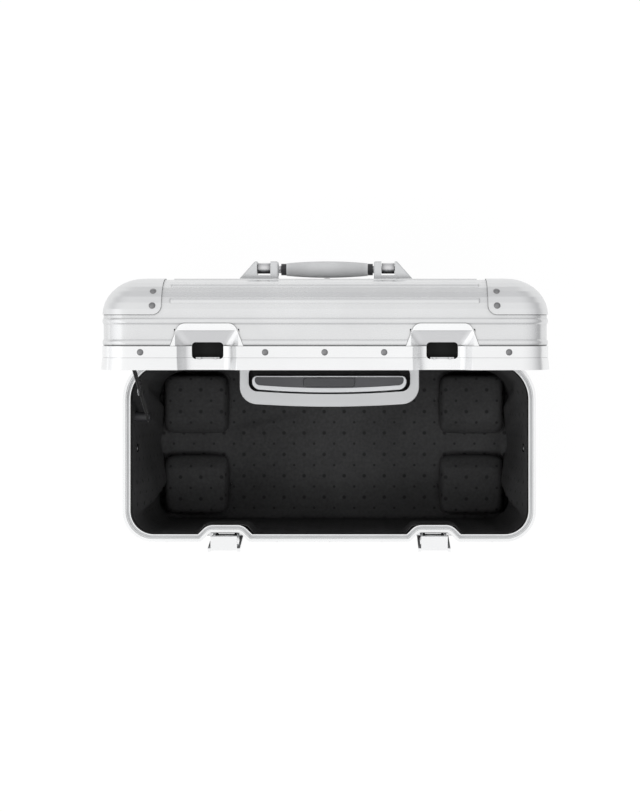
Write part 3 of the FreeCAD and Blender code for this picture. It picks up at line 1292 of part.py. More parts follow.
def caster_wheels(x, y):
    wheels = []
    for side in (-1, 1):
        a = x + side * (LEG_HALF + JOINT_GAP)
        b = a + side * WHEEL_WIDTH
        start, end = Vec(a, y + TRAIL, WHEEL_RADIUS), Vec(b, y + TRAIL, WHEEL_RADIUS)
        disc = rod(WHEEL_RADIUS, start, end)
        disc = disc.makeFillet(WHEEL_EDGE, [e for e in disc.Edges if e.Closed][:2])
        dish = rod(HUB_RADIUS, Vec(b - side * WHEEL_RECESS, y + TRAIL, WHEEL_RADIUS), end)
        boss = rod(AXLE_RADIUS * 2, Vec(b - side * WHEEL_RECESS, y + TRAIL, WHEEL_RADIUS), end)
        bore = rod(AXLE_RADIUS + RUNNING_FIT, start, end)
        wheels.append(one(disc.cut(dish.cut(boss)).cut(bore)))
    return wheels


def caster_axle(x, y):
    half = LEG_HALF + JOINT_GAP + WHEEL_WIDTH
    centre = Vec(x, y + TRAIL, WHEEL_RADIUS)
    return rod(AXLE_RADIUS - RUNNING_FIT, centre - ALONG_X * half, centre + ALONG_X * half)


# Write every node
save("body_shell", body_shell())
rim = body_frame()
save("body_frame", rim)
save("rim_seal", rim_seal())
save("body_rivets", *body_rivets())
save("body_corner_guards", *body_guards())
save("latch_pans", *[largest(latch_pan(x).cut(rim)) for x in (-LATCH_X, LATCH_X)])
save("latch_pivot_pins", lever_pin(-LATCH_X), lever_pin(LATCH_X))
hinge_left = hinge_leaves(-1)
hinge_right = hinge_leaves(1)
save("hinge_body_leaves", hinge_left[0], hinge_right[0])
save("hinge_pins", hinge_left[2], hinge_right[2])
save("telescope_bezel", telescope_bezel())
save("telescope_outer_tubes", tube(0, -1), tube(0, 1))
save("telescope_feet", tube_foot(-1), tube_foot(1))
save("telescope_stage_one", tube(1, -1), tube(1, 1))
save("telescope_stage_two", tube(2, -1), tube(2, 1))
save("telescope_stage_three", tube(3, -1), tube(3, 1))
save("telescope_grip", telescope_grip())
save("telescope_pad", telescope_pad())
save("telescope_button", telescope_button())
save("body_lining", body_lining())
save("wheel_humps", *[wheel_hump(x, y) for x, y in caster_spots()])
save("lining_covers", latch_cover(-LATCH_X), latch_cover(LATCH_X), telescope_cover())
save("wall_studs", wall_stud(-1), wall_stud(1))
strap_foot, strap_head, strap_slider = strap_pieces()
foot_point, head_point = strap_ends()
save("strap_lower", strap_foot)
save("strap_upper", strap_head)
save("strap_slider", strap_slider)
save("strap_body_anchor", strap_anchor(foot_point, SIDE_X - LINING_INSET - LINING))
save("strap_lid_anchor", strap_anchor(head_point, SIDE_X - LID_LINING_INSET - LINING))
save("wheel_housings", *[wheel_housing(x, y) for x, y in caster_spots()])
save("swivel_bearings", *[swivel_bearing(x, y) for x, y in caster_spots()])
for name, (wx, wy) in zip(("left_front", "left_rear", "right_front", "right_rear"), caster_spots()):
    save("caster_fork_" + name, caster_fork(wx, wy))
    save("caster_axle_" + name, caster_axle(wx, wy))
    save("caster_wheels_" + name, *caster_wheels(wx, wy))
for name, x in (("left", -LATCH_X), ("right", LATCH_X)):
    save("latch_lever_" + name, ajar_lever(latch_lever(x), x))
    save("latch_claw_" + name, ajar_claw(latch_claw(x), x))
save_lid("lid_shell", lid_shell())
lid_rim = lid_frame()
save_lid("lid_frame", lid_rim)
save_lid("lid_rivets", *lid_rivets())
save_lid("lid_corner_guards", *lid_guards())
save_lid("latch_keepers", *[largest(latch_keeper(x).cut(lid_rim)) for x in (-LATCH_X, LATCH_X)])
save_lid("catch_bars", catch_bar(-LATCH_X), catch_bar(LATCH_X))
save_lid("alcove_liner", alcove_liner())
save_lid("lid_lining", lid_lining())
save_lid("hinge_lid_leaves", hinge_left[1], hinge_right[1])
save_lid("handle_brackets", *pair(handle_bracket()))
save_lid("handle_pins", *pair(handle_pin(0)))
save_lid("handle_bumper", handle_bumper())
save_lid("handle_bail", handle_bail())
save_lid("handle_grip", handle_grip())
save_lid("handle_collars", handle_collar(-1), handle_collar(1))
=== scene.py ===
import json
import math

import bmesh
import bpy
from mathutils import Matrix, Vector, noise


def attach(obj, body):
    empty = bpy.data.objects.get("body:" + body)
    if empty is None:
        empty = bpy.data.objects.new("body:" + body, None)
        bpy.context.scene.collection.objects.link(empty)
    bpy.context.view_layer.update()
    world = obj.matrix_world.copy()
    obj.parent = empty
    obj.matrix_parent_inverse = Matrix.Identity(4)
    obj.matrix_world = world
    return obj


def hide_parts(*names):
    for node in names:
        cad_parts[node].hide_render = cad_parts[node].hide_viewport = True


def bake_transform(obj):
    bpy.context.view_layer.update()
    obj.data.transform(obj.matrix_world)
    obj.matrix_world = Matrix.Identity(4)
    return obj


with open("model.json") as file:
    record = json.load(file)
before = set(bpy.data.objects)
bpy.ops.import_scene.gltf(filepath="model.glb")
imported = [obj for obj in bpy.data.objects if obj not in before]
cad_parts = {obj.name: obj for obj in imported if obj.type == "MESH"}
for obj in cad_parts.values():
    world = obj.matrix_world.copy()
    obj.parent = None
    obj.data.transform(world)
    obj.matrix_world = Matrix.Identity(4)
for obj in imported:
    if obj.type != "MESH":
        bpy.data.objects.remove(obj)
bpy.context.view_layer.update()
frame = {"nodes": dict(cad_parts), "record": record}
NODES = frame["nodes"]
scene = bpy.context.scene
MM = 0.001

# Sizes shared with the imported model, in millimetres
RIM_Z = 312.0
SIDE_X = 235.0
WALL_Y = 105.0
FRONT_CORNER = 35.0
REAR_CORNER = 48.0
LATCH_X = 119.0
STUD_DROP = 62.0
STUD_Z = RIM_Z - STUD_DROP
CASTER_X = 175.0
CASTER_Y = 52.0
CASTERS = [(sx * CASTER_X, sy * CASTER_Y) for sx in (-1, 1) for sy in (-1, 1)]
HINGE_Y = 104.0
HINGE_Z = 316.2
OPEN_ANGLE = math.radians(87.0)


def link(obj):
    scene.collection.objects.link(obj)
    return obj


def new_mesh(name, verts, faces):
    """A new object from vertices in millimetres."""
    mesh = bpy.data.meshes.new(name)
    mesh.from_pydata([Vector(v) * MM for v in verts], [], faces)
    mesh.validate()
    mesh.update()
    return link(bpy.data.objects.new(name, mesh))


def smooth(obj):
    obj.data.polygons.foreach_set("use_smooth", [True] * len(obj.data.polygons))
    obj.data.update()


def opened(v):
    """A point of the closed lid, turned with the lid to its open rest."""
    y, z = v[1] - HINGE_Y, v[2] - HINGE_Z
    c, s = math.cos(OPEN_ANGLE), math.sin(OPEN_ANGLE)
    return (v[0], HINGE_Y + y * c + z * s, HINGE_Z - y * s + z * c)


# Shader helpers, with lengths in millimetres
BLACK = (0.0, 0.0, 0.0)
WHITE = (1.0, 1.0, 1.0)
EVEN_GRAIN = (1.0, 1.0, 1.0)
FLAT_POINTINESS = 0.5
# Painted shade in joints and inner corners: ambient-occlusion samples, reach, and the levels of full and of
# no darkening
JOINT_SHADE_SAMPLES = 6
JOINT_SHADE_REACH = 6.0
JOINT_SHADE_FULL = 0.50
JOINT_SHADE_NONE = 0.92
SHADE_EDGE_PER_METRE = 1500.0
Y_AXIS = 1
Z_AXIS = 2


def nodes_of(name):
    mat = bpy.data.materials.new(name)
    mat.use_nodes = True
    tree = mat.node_tree
    return mat, tree, tree.nodes["Principled BSDF"]


def add(tree, kind, **values):
    node = tree.nodes.new(kind)
    for key, value in values.items():
        setattr(node, key, value)
    return node


def math_node(tree, operation, a, b=None, clamp=False):
    node = add(tree, "ShaderNodeMath", operation=operation, use_clamp=clamp)
    for socket, value in zip(node.inputs, (a, b)):
        if value is None:
            continue
        if isinstance(value, (int, float)):
            socket.default_value = value
        else:
            tree.links.new(value, socket)
    return node.outputs[0]


def noise_node(tree, vector, scale, detail, rough=0.55):
    node = add(tree, "ShaderNodeTexNoise")
    node.inputs["Scale"].default_value = scale
    node.inputs["Detail"].default_value = detail
    node.inputs["Roughness"].default_value = rough
    tree.links.new(vector, node.inputs["Vector"])
    return node.outputs["Fac"]


def ramp(tree, value, stops):
    node = add(tree, "ShaderNodeValToRGB")
    bar = node.color_ramp
    while len(bar.elements) < len(stops):
        bar.elements.new(0.5)
    for element, (position, colour) in zip(bar.elements, stops):
        element.position = position
        element.color = (*colour, 1.0)
    tree.links.new(value, node.inputs["Fac"])
    return node.outputs["Color"]


def scaled(colour, share):
    return tuple(min(1.0, c * share) for c in colour)


def mixed(tree, factor, a, b):
    node = add(tree, "ShaderNodeMix", data_type="RGBA")
    tree.links.new(factor, node.inputs[0])
    for socket, value in ((node.inputs[6], a), (node.inputs[7], b)):
        if isinstance(value, tuple):
            socket.default_value = (*value, 1.0)
        else:
            tree.links.new(value, socket)
    return node.outputs[2]


def summed(tree, base, *layers):
    """A base value plus a share of each of some patterns."""
    parts = [math_node(tree, "MULTIPLY", pattern, share) for pattern, share in layers]
    total = parts[0]
    for part in parts[1:]:
        total = math_node(tree, "ADD", total, part)
    return math_node(tree, "ADD", total, base) if base else total


def uneven_roughness(tree, shader, rough, *layers):
    """A roughness that varies about its middle by a share of each of some patterns."""
    base = rough - sum(share for pattern, share in layers) / 2
    tree.links.new(summed(tree, base, *layers), shader.inputs["Roughness"])


def object_place(tree):
    return add(tree, "ShaderNodeTexCoord").outputs["Object"]


def split(tree, vector):
    node = add(tree, "ShaderNodeSeparateXYZ")
    tree.links.new(vector, node.inputs[0])
    return node.outputs


def stretched(tree, stretch):
    mapping = add(tree, "ShaderNodeMapping")
    mapping.inputs["Scale"].default_value = stretch
    tree.links.new(object_place(tree), mapping.inputs["Vector"])
    return mapping.outputs["Vector"]


def bump(tree, shader, height, strength, depth):
    node = add(tree, "ShaderNodeBump")
    node.inputs["Strength"].default_value = strength
    node.inputs["Distance"].default_value = depth * MM
    tree.links.new(height, node.inputs["Height"])
    tree.links.new(node.outputs["Normal"], shader.inputs["Normal"])


def clouded(tree, pattern, colour, dark, light, reach):
    """A colour between a dark and a light share of itself, over a reach about the pattern's middle."""
    stops = [(0.5 - reach, scaled(colour, dark)), (0.5 + reach, scaled(colour, light))]
    return ramp(tree, pattern, stops)


def worn_edges(tree, sharp, amount):
    """How far edges are rubbed: nothing on a flat face, the whole amount on a sharp edge."""
    edge = add(tree, "ShaderNodeNewGeometry").outputs["Pointiness"]
    worn = ramp(tree, edge, [(FLAT_POINTINESS, BLACK), (sharp, WHITE)])
    return math_node(tree, "MULTIPLY", worn, amount)


def painted_joint_shade(tree, colour, dark, amount):
    """Painted shade: darkens a colour in joints and inner corners, as far as ambient occlusion finds them
    shut in.
    """
    close = add(tree, "ShaderNodeAmbientOcclusion", samples=JOINT_SHADE_SAMPLES)
    close.inputs["Distance"].default_value = JOINT_SHADE_REACH * MM
    hidden = ramp(tree, close.outputs["AO"], [(JOINT_SHADE_FULL, WHITE), (JOINT_SHADE_NONE, BLACK)])
    return mixed(tree, math_node(tree, "MULTIPLY", hidden, amount), colour, dark)


# Materials, with depths and pitches in millimetres
METAL_WORN_SHARE = 1.25
# Share of its own colour that a metal darkens to under the painted shade in its joints
METAL_JOINT_SHADE_SHARE = 0.10
METAL_FINE_SHARE = 0.12
PLASTIC_WORN_SHARE = 1.5
PLASTIC_FINE_SHARE = 0.16
CLOUD_SHARE = 0.08
TREAD_ROUGH = 0.60
TREAD_ROUGH_SHARE = 0.3
TREAD_DUST_SHARES = ((0.35, 0.75), (0.62, 1.0), (0.85, 2.2))
CLOTH_ROUGH = 0.82
CLOTH_ROUGH_SHARE = 0.2
CLOTH_SHEEN_ROUGH = 0.5
CLOTH_SPECULAR = 0.04
SLUB_TONE_SHARE = 0.45
SLUB_HEIGHT = 1.5
DOT_SHARE = 0.50
DOT_PITCH = (26.2, 28.0)
LARGE_DOT = 3.0
SMALL_DOT = 2.1
DOT_EDGE = 2.2
FLOOR_SLOPE = 0.62
LINING_BLACK = (0.052, 0.052, 0.053)
# Painted shade: dark colours and limits that stand in for the shade in the bezel's well, near the lid
# lining's front and inside the latch pans
RECESS_SHADE = (0.014, 0.014, 0.015)
LID_RECESS_SHADE = (0.014, 0.014, 0.014)
PAN_RECESS_SHADE = (0.02, 0.02, 0.021)
BEZEL_LIT_DEPTH = 4.0
BEZEL_SHADE_Z = RIM_Z - BEZEL_LIT_DEPTH
LID_SHADE_Z = 488.0
PAN_SHADE_Y = -101.5


def brushed_x(share):
    """Stretch of a grain that is drawn out along X."""
    return (share, 1.0, 1.0)


def brushed_z(share):
    """Stretch of a grain that is drawn out along Z."""
    return (1.0, 1.0, share)


def metal(name, colour, rough, grain=EVEN_GRAIN, spread=0.05, wear=0.06, joint_shade=0.8):
    """Metal with a fine grain, faint clouds in its colour, brighter worn edges and painted shade in its
    joints and inner corners.
    """
    mat, tree, shader = nodes_of(name)
    shader.inputs["Metallic"].default_value = 1.0
    fine = noise_node(tree, stretched(tree, grain), scale=900.0, detail=3.0)
    cloud = noise_node(tree, stretched(tree, EVEN_GRAIN), scale=14.0, detail=5.0)
    tint = clouded(tree, cloud, colour, dark=1 - spread, light=1 + spread, reach=0.25)
    rubbed = mixed(tree, worn_edges(tree, sharp=0.58, amount=wear), tint, scaled(colour, METAL_WORN_SHARE))
    # Painted shade from ambient occlusion in joints and inner corners
    joint_shaded = painted_joint_shade(tree, rubbed, scaled(colour, METAL_JOINT_SHADE_SHARE), joint_shade)
    tree.links.new(joint_shaded, shader.inputs["Base Color"])
    uneven_roughness(tree, shader, rough, (fine, METAL_FINE_SHARE), (cloud, CLOUD_SHARE))
    bump(tree, shader, fine, strength=0.35, depth=0.02)
    return mat


def plastic(name, colour, rough, grain=700.0, depth=0.05, spread=0.08, coat=0.0):
    """Moulded plastic or rubber with a spark-eroded grain and rubbed edges."""
    mat, tree, shader = nodes_of(name)
    where = stretched(tree, EVEN_GRAIN)
    fine = noise_node(tree, where, scale=grain, detail=2.0)
    cloud = noise_node(tree, where, scale=22.0, detail=4.0)
    tint = clouded(tree, cloud, colour, dark=1 - spread, light=1 + spread, reach=0.2)
    rubbed = mixed(tree, worn_edges(tree, sharp=0.6, amount=0.3), tint, scaled(colour, PLASTIC_WORN_SHARE))
    tree.links.new(rubbed, shader.inputs["Base Color"])
    uneven_roughness(tree, shader, rough, (fine, PLASTIC_FINE_SHARE), (cloud, CLOUD_SHARE))
    shader.inputs["Coat Weight"].default_value = coat
    bump(tree, shader, fine, strength=0.5, depth=depth)
    return mat


def lattice(tree, flat, shift, radius):
    """One where a point lies in a dot of a regular grid, fading out at the dot's edge."""
    squares = []
    for value, pitch_mm in zip(flat, DOT_PITCH):
        pitch = pitch_mm * MM
        share = math_node(tree, "ADD", math_node(tree, "DIVIDE", value, pitch), shift)
        off = math_node(tree, "SUBTRACT", math_node(tree, "FRACT", share), 0.5)
        away = math_node(tree, "MULTIPLY", off, pitch)
        squares.append(math_node(tree, "MULTIPLY", away, away))
    reach = math_node(tree, "SQRT", math_node(tree, "ADD", *squares))
    inside = math_node(tree, "SUBTRACT", 1.0, math_node(tree, "DIVIDE", reach, radius * MM))
    return math_node(tree, "MULTIPLY", inside, DOT_EDGE, clamp=True)


def face_coordinates(tree):
    """Flat coordinates on the face that a point lies on: floor, front and rear, or side."""
    normal = split(tree, add(tree, "ShaderNodeNewGeometry").outputs["True Normal"])
    spot = split(tree, object_place(tree))
    size = [math_node(tree, "ABSOLUTE", normal[i]) for i in range(3)]
    floor = math_node(tree, "GREATER_THAN", size[2], FLOOR_SLOPE)
    side = math_node(tree, "GREATER_THAN", size[0], size[1])

    def pick(test, yes, no):
        part = math_node(tree, "MULTIPLY", test, yes)
        rest = math_node(tree, "MULTIPLY", math_node(tree, "SUBTRACT", 1.0, test), no)
        return math_node(tree, "ADD", part, rest)

    u = pick(floor, spot[0], pick(side, spot[1], spot[0]))
    v = pick(floor, spot[1], spot[2])
    return u, v


def cloth(name, colour, dots=True, thread=1.1, sheen=0.01):
    """Plain woven cloth: two sets of threads, slubs, a faint sheen and printed dots."""
    mat, tree, shader = nodes_of(name)
    flat = face_coordinates(tree)
    turn = 2 * math.pi / (thread * MM)
    warp, weft = [math_node(tree, "SINE", math_node(tree, "MULTIPLY", value, turn)) for value in flat]
    weave = math_node(tree, "MULTIPLY", warp, weft)
    where = stretched(tree, EVEN_GRAIN)
    slub = noise_node(tree, where, scale=260.0, detail=3.0)
    cloud = noise_node(tree, where, scale=9.0, detail=5.0)
    tone = summed(tree, 0.0, (slub, SLUB_TONE_SHARE), (cloud, 1 - SLUB_TONE_SHARE))
    tint = clouded(tree, tone, colour, dark=0.72, light=1.3, reach=0.2)
    if dots:
        large = lattice(tree, flat, shift=0.0, radius=LARGE_DOT)
        small = lattice(tree, flat, shift=0.5, radius=SMALL_DOT)
        printed = math_node(tree, "MAXIMUM", large, small)
        tint = mixed(tree, printed, tint, scaled(colour, DOT_SHARE))
    tree.links.new(tint, shader.inputs["Base Color"])
    uneven_roughness(tree, shader, CLOTH_ROUGH, (slub, CLOTH_ROUGH_SHARE))
    shader.inputs["Sheen Weight"].default_value = sheen
    shader.inputs["Sheen Roughness"].default_value = CLOTH_SHEEN_ROUGH
    shader.inputs["Specular IOR Level"].default_value = CLOTH_SPECULAR
    height = math_node(tree, "ADD", weave, math_node(tree, "MULTIPLY", slub, SLUB_HEIGHT))
    bump(tree, shader, height, strength=0.4, depth=0.12)
    return mat


def tread(name, colour, groove):
    """Wheel tread: fine moulding rings, dust in the hollows."""
    mat, tree, shader = nodes_of(name)
    where = stretched(tree, EVEN_GRAIN)
    turn = 2 * math.pi / (groove * MM)
    rings = math_node(tree, "SINE", math_node(tree, "MULTIPLY", split(tree, where)[0], turn))
    dust = noise_node(tree, where, scale=60.0, detail=6.0, rough=0.7)
    tint = ramp(tree, dust, [(level, scaled(colour, share)) for level, share in TREAD_DUST_SHARES])
    tree.links.new(tint, shader.inputs["Base Color"])
    uneven_roughness(tree, shader, TREAD_ROUGH, (dust, TREAD_ROUGH_SHARE))
    bump(tree, shader, math_node(tree, "ADD", rings, dust), strength=0.3, depth=0.15)
    return mat


def painted_shade_past(mat, axis, limit, way, colour):
    """Painted shade: turns the colour dark past a plane, where a recess lies in shade."""
    tree = mat.node_tree
    base = tree.nodes["Principled BSDF"].inputs["Base Color"]
    beyond = math_node(tree, "SUBTRACT", split(tree, object_place(tree))[axis], limit * MM)
    past = math_node(tree, "MULTIPLY", beyond, way * SHADE_EDGE_PER_METRE, clamp=True)
    tree.links.new(mixed(tree, past, base.links[0].from_socket, colour), base)
    return mat


MATERIALS = {
    "ribbed_aluminium": metal("ribbed_aluminium_m", (0.72, 0.725, 0.73), 0.26, brushed_x(0.06)),
    "frame_aluminium": metal("frame_aluminium_m", (0.85, 0.855, 0.86), 0.24, brushed_x(0.05),
                             spread=0.03, joint_shade=0.25),
    "guard_aluminium": metal("guard_aluminium_m", (0.735, 0.74, 0.745), 0.36, brushed_x(0.4), spread=0.04),
    "rivet_metal": metal("rivet_metal_m", (0.24, 0.24, 0.245), 0.30, spread=0.15, wear=0.3),
    "latch_metal": metal("latch_metal_m", (0.90, 0.905, 0.91), 0.20, brushed_z(0.2), spread=0.03),
    "hinge_steel": metal("hinge_steel_m", (0.60, 0.60, 0.61), 0.28, brushed_x(0.1), spread=0.08, wear=0.2),
    "tube_aluminium": metal("tube_aluminium_m", (0.68, 0.69, 0.70), 0.26, brushed_z(0.05)),
    "bracket_metal": plastic("bracket_metal_m", (0.40, 0.405, 0.41), 0.36, grain=1100.0, depth=0.02,
                             spread=0.05, coat=0.25),
    "bezel_plastic": plastic("bezel_plastic_m", (0.47, 0.475, 0.48), 0.42, grain=1000.0, depth=0.03,
                             spread=0.03),
    "grip_plastic": plastic("grip_plastic_m", (0.55, 0.56, 0.57), 0.30, grain=1000.0, depth=0.02,
                            spread=0.03, coat=0.3),
    "pad_rubber": plastic("pad_rubber_m", (0.065, 0.066, 0.07), 0.55, grain=800.0, depth=0.06),
    "button_plastic": plastic("button_plastic_m", (0.058, 0.059, 0.062), 0.50, grain=900.0),
    "handle_grey": plastic("handle_grey_m", (0.55, 0.555, 0.56), 0.46, grain=800.0),
    "black_plastic": plastic("black_plastic_m", (0.022, 0.022, 0.024), 0.45, depth=0.06, spread=0.15),
    "black_rubber": plastic("black_rubber_m", (0.018, 0.018, 0.018), 0.62, grain=500.0, depth=0.06,
                            spread=0.2),
    "seal_rubber": plastic("seal_rubber_m", (0.36, 0.365, 0.37), 0.6, grain=500.0, depth=0.06, spread=0.1),
    "alcove_plastic": plastic("alcove_plastic_m", (0.20, 0.205, 0.21), 0.5, grain=800.0),
    "wheel_rubber": tread("wheel_rubber_m", (0.04, 0.04, 0.043), groove=1.8),
    "lining_fabric": cloth("lining_fabric_m", LINING_BLACK),
    "strap_webbing": cloth("strap_webbing_m", (0.012, 0.012, 0.012), dots=False, thread=1.6, sheen=0.1),
}
# Painted shade: the bezel's well is coloured dark below its lit top
painted_shade_past(MATERIALS["bezel_plastic"], Z_AXIS, BEZEL_SHADE_Z, -1, RECESS_SHADE)
# Painted shade: the lid lining's cloth is coloured darker past a height near the lid's front, round the
# keeper covers
LID_CLOTH_SHADED = painted_shade_past(cloth("lid_cloth_shaded_m", LINING_BLACK), Z_AXIS, LID_SHADE_Z, 1, LID_RECESS_SHADE)
# Painted shade: the latch pans' metal is coloured near-black past a depth into the pan, where the recess
# lies in shade
PAN_SHADED = painted_shade_past(metal("latch_pan_shaded_m", (0.84, 0.845, 0.85), 0.22, brushed_z(0.2), spread=0.03),
                  Y_AXIS, PAN_SHADE_Y, 1, PAN_RECESS_SHADE)
SLOT_OF = {part["node"]: part["material_slot"] for part in frame["record"]["subparts"]}


def dress(obj, slot):
    obj.data.materials.clear()
    obj.data.materials.append(MATERIALS[slot])


def place(obj, body, slot):
    """Dresses a new piece and fixes it to a body."""
    dress(obj, slot)
    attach(obj, body)
    return obj


for node_name, node_object in NODES.items():
    dress(node_object, SLOT_OF[node_name])
# The latch pans take the metal with painted shade inside
NODES["latch_pans"].data.materials[0] = PAN_SHADED


# Shape helpers for the soft pieces, in millimetres
LONG_STEPS = 64
SHORT_STEPS = 30
CORNER_STEPS = 9
LEAST_CORNER = 0.4
LEAST_GAP = 1.0
CORNER_KEEP_SHARE = 0.22
MIDDLE_GAP = 0.6
CLOTH_THICK = 1.2
WELD = 0.02


def on_arc(cx, cy, radius, degrees):
    a = math.radians(degrees)
    return (cx + radius * math.cos(a), cy + radius * math.sin(a))


def rounded(inset, front, rear):
    """Points round a rounded rectangle that lies inset from the rim, from the front right corner on."""
    x, y = SIDE_X - inset, WALL_Y - inset
    front, rear = max(front, LEAST_CORNER), max(rear, LEAST_CORNER)
    corners = [(x - front, -y + front, front, -90), (x - rear, y - rear, rear, 0),
               (-x + rear, y - rear, rear, 90), (-x + front, -y + front, front, 180)]
    runs = [SHORT_STEPS, LONG_STEPS, SHORT_STEPS, LONG_STEPS]
    points = []
    for index, (cx, cy, radius, start) in enumerate(corners):
        for step in range(CORNER_STEPS + 1):
            points.append(on_arc(cx, cy, radius, start + 90 * step / CORNER_STEPS))
        ax, ay = points[-1]
        bx, by = on_arc(*corners[(index + 1) % len(corners)])
        for step in range(1, runs[index]):
            t = step / runs[index]
            points.append((ax + (bx - ax) * t, ay + (by - ay) * t))
    return points


def loft(rings, closed=True):
    """Vertices and faces of a skin through rows of equal length, joined round where they are closed."""
    count = len(rings[0])
    verts = [p for ring in rings for p in ring]
    faces = []
    for row in range(len(rings) - 1):
        for i in range(count if closed else count - 1):
            j = (i + 1) % count
            faces.append((row * count + i, row * count + j, (row + 1) * count + j, (row + 1) * count + i))
    return verts, faces


def end_face(rings):
    """The face that closes a loft at its last ring."""
    count = len(rings[0])
    return tuple((len(rings) - 1) * count + i for i in range(count))


def start_face(rings):
    """The face that closes a loft at its first ring."""
    return tuple(reversed(range(len(rings[0]))))


def bend_rings(inset, bend_in, bend_up, start_z, steps, front, rear):
    """Rings of a quarter bend from a wall to a floor, or to a top where bend_up is above zero."""
    rings = []
    for step in range(1, steps + 1):
        a = math.pi / 2 * step / steps
        drawn = 1 - math.cos(a)
        keep = 1 - (1 - CORNER_KEEP_SHARE) * drawn
        z = start_z + bend_up * math.sin(a)
        rings.append([(x, y, z) for x, y in rounded(inset + bend_in * drawn, front * keep, rear * keep)])
    return rings


def flat_rings(edge, z, steps, front, rear):
    """Rings of a flat floor or top, from the bend's edge to the middle."""
    rings = []
    for step in range(1, steps + 1):
        depth = edge + (WALL_Y - edge - MIDDLE_GAP) * step / steps
        shrink = CORNER_KEEP_SHARE * (1 - step / steps)
        rings.append([(x, y, z) for x, y in rounded(depth, front * shrink, rear * shrink)])
    return rings


def bend_rise(depth, radius):
    """How far a quarter round has curved away at a depth past its start."""
    if depth <= 0:
        return 0.0
    return radius - math.sqrt(max(0.0, radius ** 2 - depth ** 2))


def ease(t):
    """A smooth step from 0 to 1."""
    t = max(0.0, min(1.0, t))
    return t * t * (3 - 2 * t)


def fold(distance, width):
    """A crest of height 1 that fades over a width."""
    return math.exp(-(distance / width) ** 2)


def ripple(x, y, z, size, seed):
    return noise.noise(Vector((x / size + seed, y / size - seed, z / size + 2 * seed)))


def slack(x, y, z, middle, ripples):
    """Uneven slack of a cloth: a middle height with ripples, each a height, a size and a seed."""
    return middle + sum(height * ripple(x, y, z, size, seed) for height, size, seed in ripples)


def from_latch(x):
    """Distance along the wall to the nearer latch."""
    return min(abs(x - LATCH_X), abs(x + LATCH_X))


def push_in(point, amount):
    """Moves a wall point towards the middle of the case, square to its wall."""
    x, y, z = point
    gap_x, gap_y = SIDE_X - abs(x), WALL_Y - abs(y)
    wx, wy = 1 / max(gap_x, LEAST_GAP) ** 2, 1 / max(gap_y, LEAST_GAP) ** 2
    size = math.hypot(wx, wy)
    return (x - math.copysign(amount * wx / size, x), y - math.copysign(amount * wy / size, y), z)


def thicken(obj, thick, offset):
    """Gives a skin a thickness: both ways at an offset of 0, inwards at -1."""
    smooth(obj)
    shell = obj.modifiers.new("thickness", "SOLIDIFY")
    shell.thickness = thick * MM
    shell.offset = offset


def skin(name, verts, faces, keep=None):
    """A cloth skin, half its thickness to each side, on the faces that the test keeps."""
    obj = new_mesh(name, verts, faces)
    cut = bmesh.new()
    cut.from_mesh(obj.data)
    if keep:
        gone = [f for f in cut.faces if not keep(f.calc_center_median() / MM)]
        bmesh.ops.delete(cut, geom=gone, context="FACES")
    bmesh.ops.remove_doubles(cut, verts=cut.verts, dist=WELD * MM)
    bmesh.ops.recalc_face_normals(cut, faces=cut.faces)
    cut.to_mesh(obj.data)
    cut.free()
    thicken(obj, CLOTH_THICK, 0.0)
    return obj


# Lining of the body, with the places of what it is cut out for
LINING_DROP = 14.3
LINING_TOP = RIM_Z - LINING_DROP
LINING_FLOOR = 37.0
LINING_IN = 7.0
LINING_BEND = 12.0
LINING_FRONT = FRONT_CORNER - LINING_IN
LINING_REAR = REAR_CORNER - LINING_IN
LINING_ROWS = 46
LINING_BEND_STEPS = 8
LINING_FLOOR_STEPS = 20
WELL_TOP = 66.0
WELL_RADIUS = 37.2
TROLLEY_HALF = 80.0
TROLLEY_FRONT_Y = 63.0
BEZEL_HALF = 106.0
BEZEL_FRONT_Y = 44.0
BEZEL_LOW_Z = 274.0

# Slack of the body lining: heights, places and widths of its folds
LINING_SLACK = 0.5
LINING_RIPPLES = ((0.5, 60.0, 3.1), (0.3, 22.0, 7.7))
WALL_BELLY = 1.6
TOP_HOLD = 18.0
TOP_SLACK_SHARE = 0.05
SIDE_WALL_X = 190.0
CREASE_FRONT = 11.0
CREASE_REAR = 7.0
CREASE_FOOT_Y = 8.0
CREASE_CREST_Y = 64.0
CREASE_DROP = 7.0
CREASE_FADE = 120.0
CREASE_MIDDLE_Z = 180.0
CREASE_LEAN_SHARE = 0.13
PLEAT = 2.4
PLEAT_Y = 34.0
PLEAT_WIDTH = 5.0
STUD_HOLD = 13.0
LONG_FOLD = 1.3
LONG_FOLD_XS = (-168.0, -40.0, 55.0, 176.0)
LONG_FOLD_WIDTH = 9.0
LONG_FOLD_MIDDLE_Z = 150.0
LONG_FOLD_LEAN_SHARE = 0.12
FRONT_WALL_Y = -70.0
PAN_COVER = 11.4
PAN_COVER_HALF = 35.0
PAN_COVER_SIDE = 13.0
PAN_COVER_LOW_Z = 222.0
PAN_COVER_SLOPE = 18.0
COVER_TAUT = 4.0
FLOOR_SLACK = 1.6
FLOOR_RIPPLE = (2.4, 80.0, 1.9)
FLOOR_FOLD = 6.5
FLOOR_FOLD_START = (-138.0, 12.0)
FLOOR_FOLD_WAY = (0.975, 0.222)
FLOOR_FOLD_LENGTH = 120.0
FLOOR_FOLD_WIDTH = 6.0
FLOOR_FOLD_RISE_SHARE = 1.0 / 6.0
FLOOR_FOLD_FADE_SHARE = 0.5
FLOOR_REST_SHARE = 0.9


def pan_bulge(x, z):
    """How far the cover over a latch pan stands into the case."""
    side = ease((PAN_COVER_HALF - from_latch(x)) / PAN_COVER_SIDE)
    return PAN_COVER * side * ease((z - PAN_COVER_LOW_Z) / PAN_COVER_SLOPE)


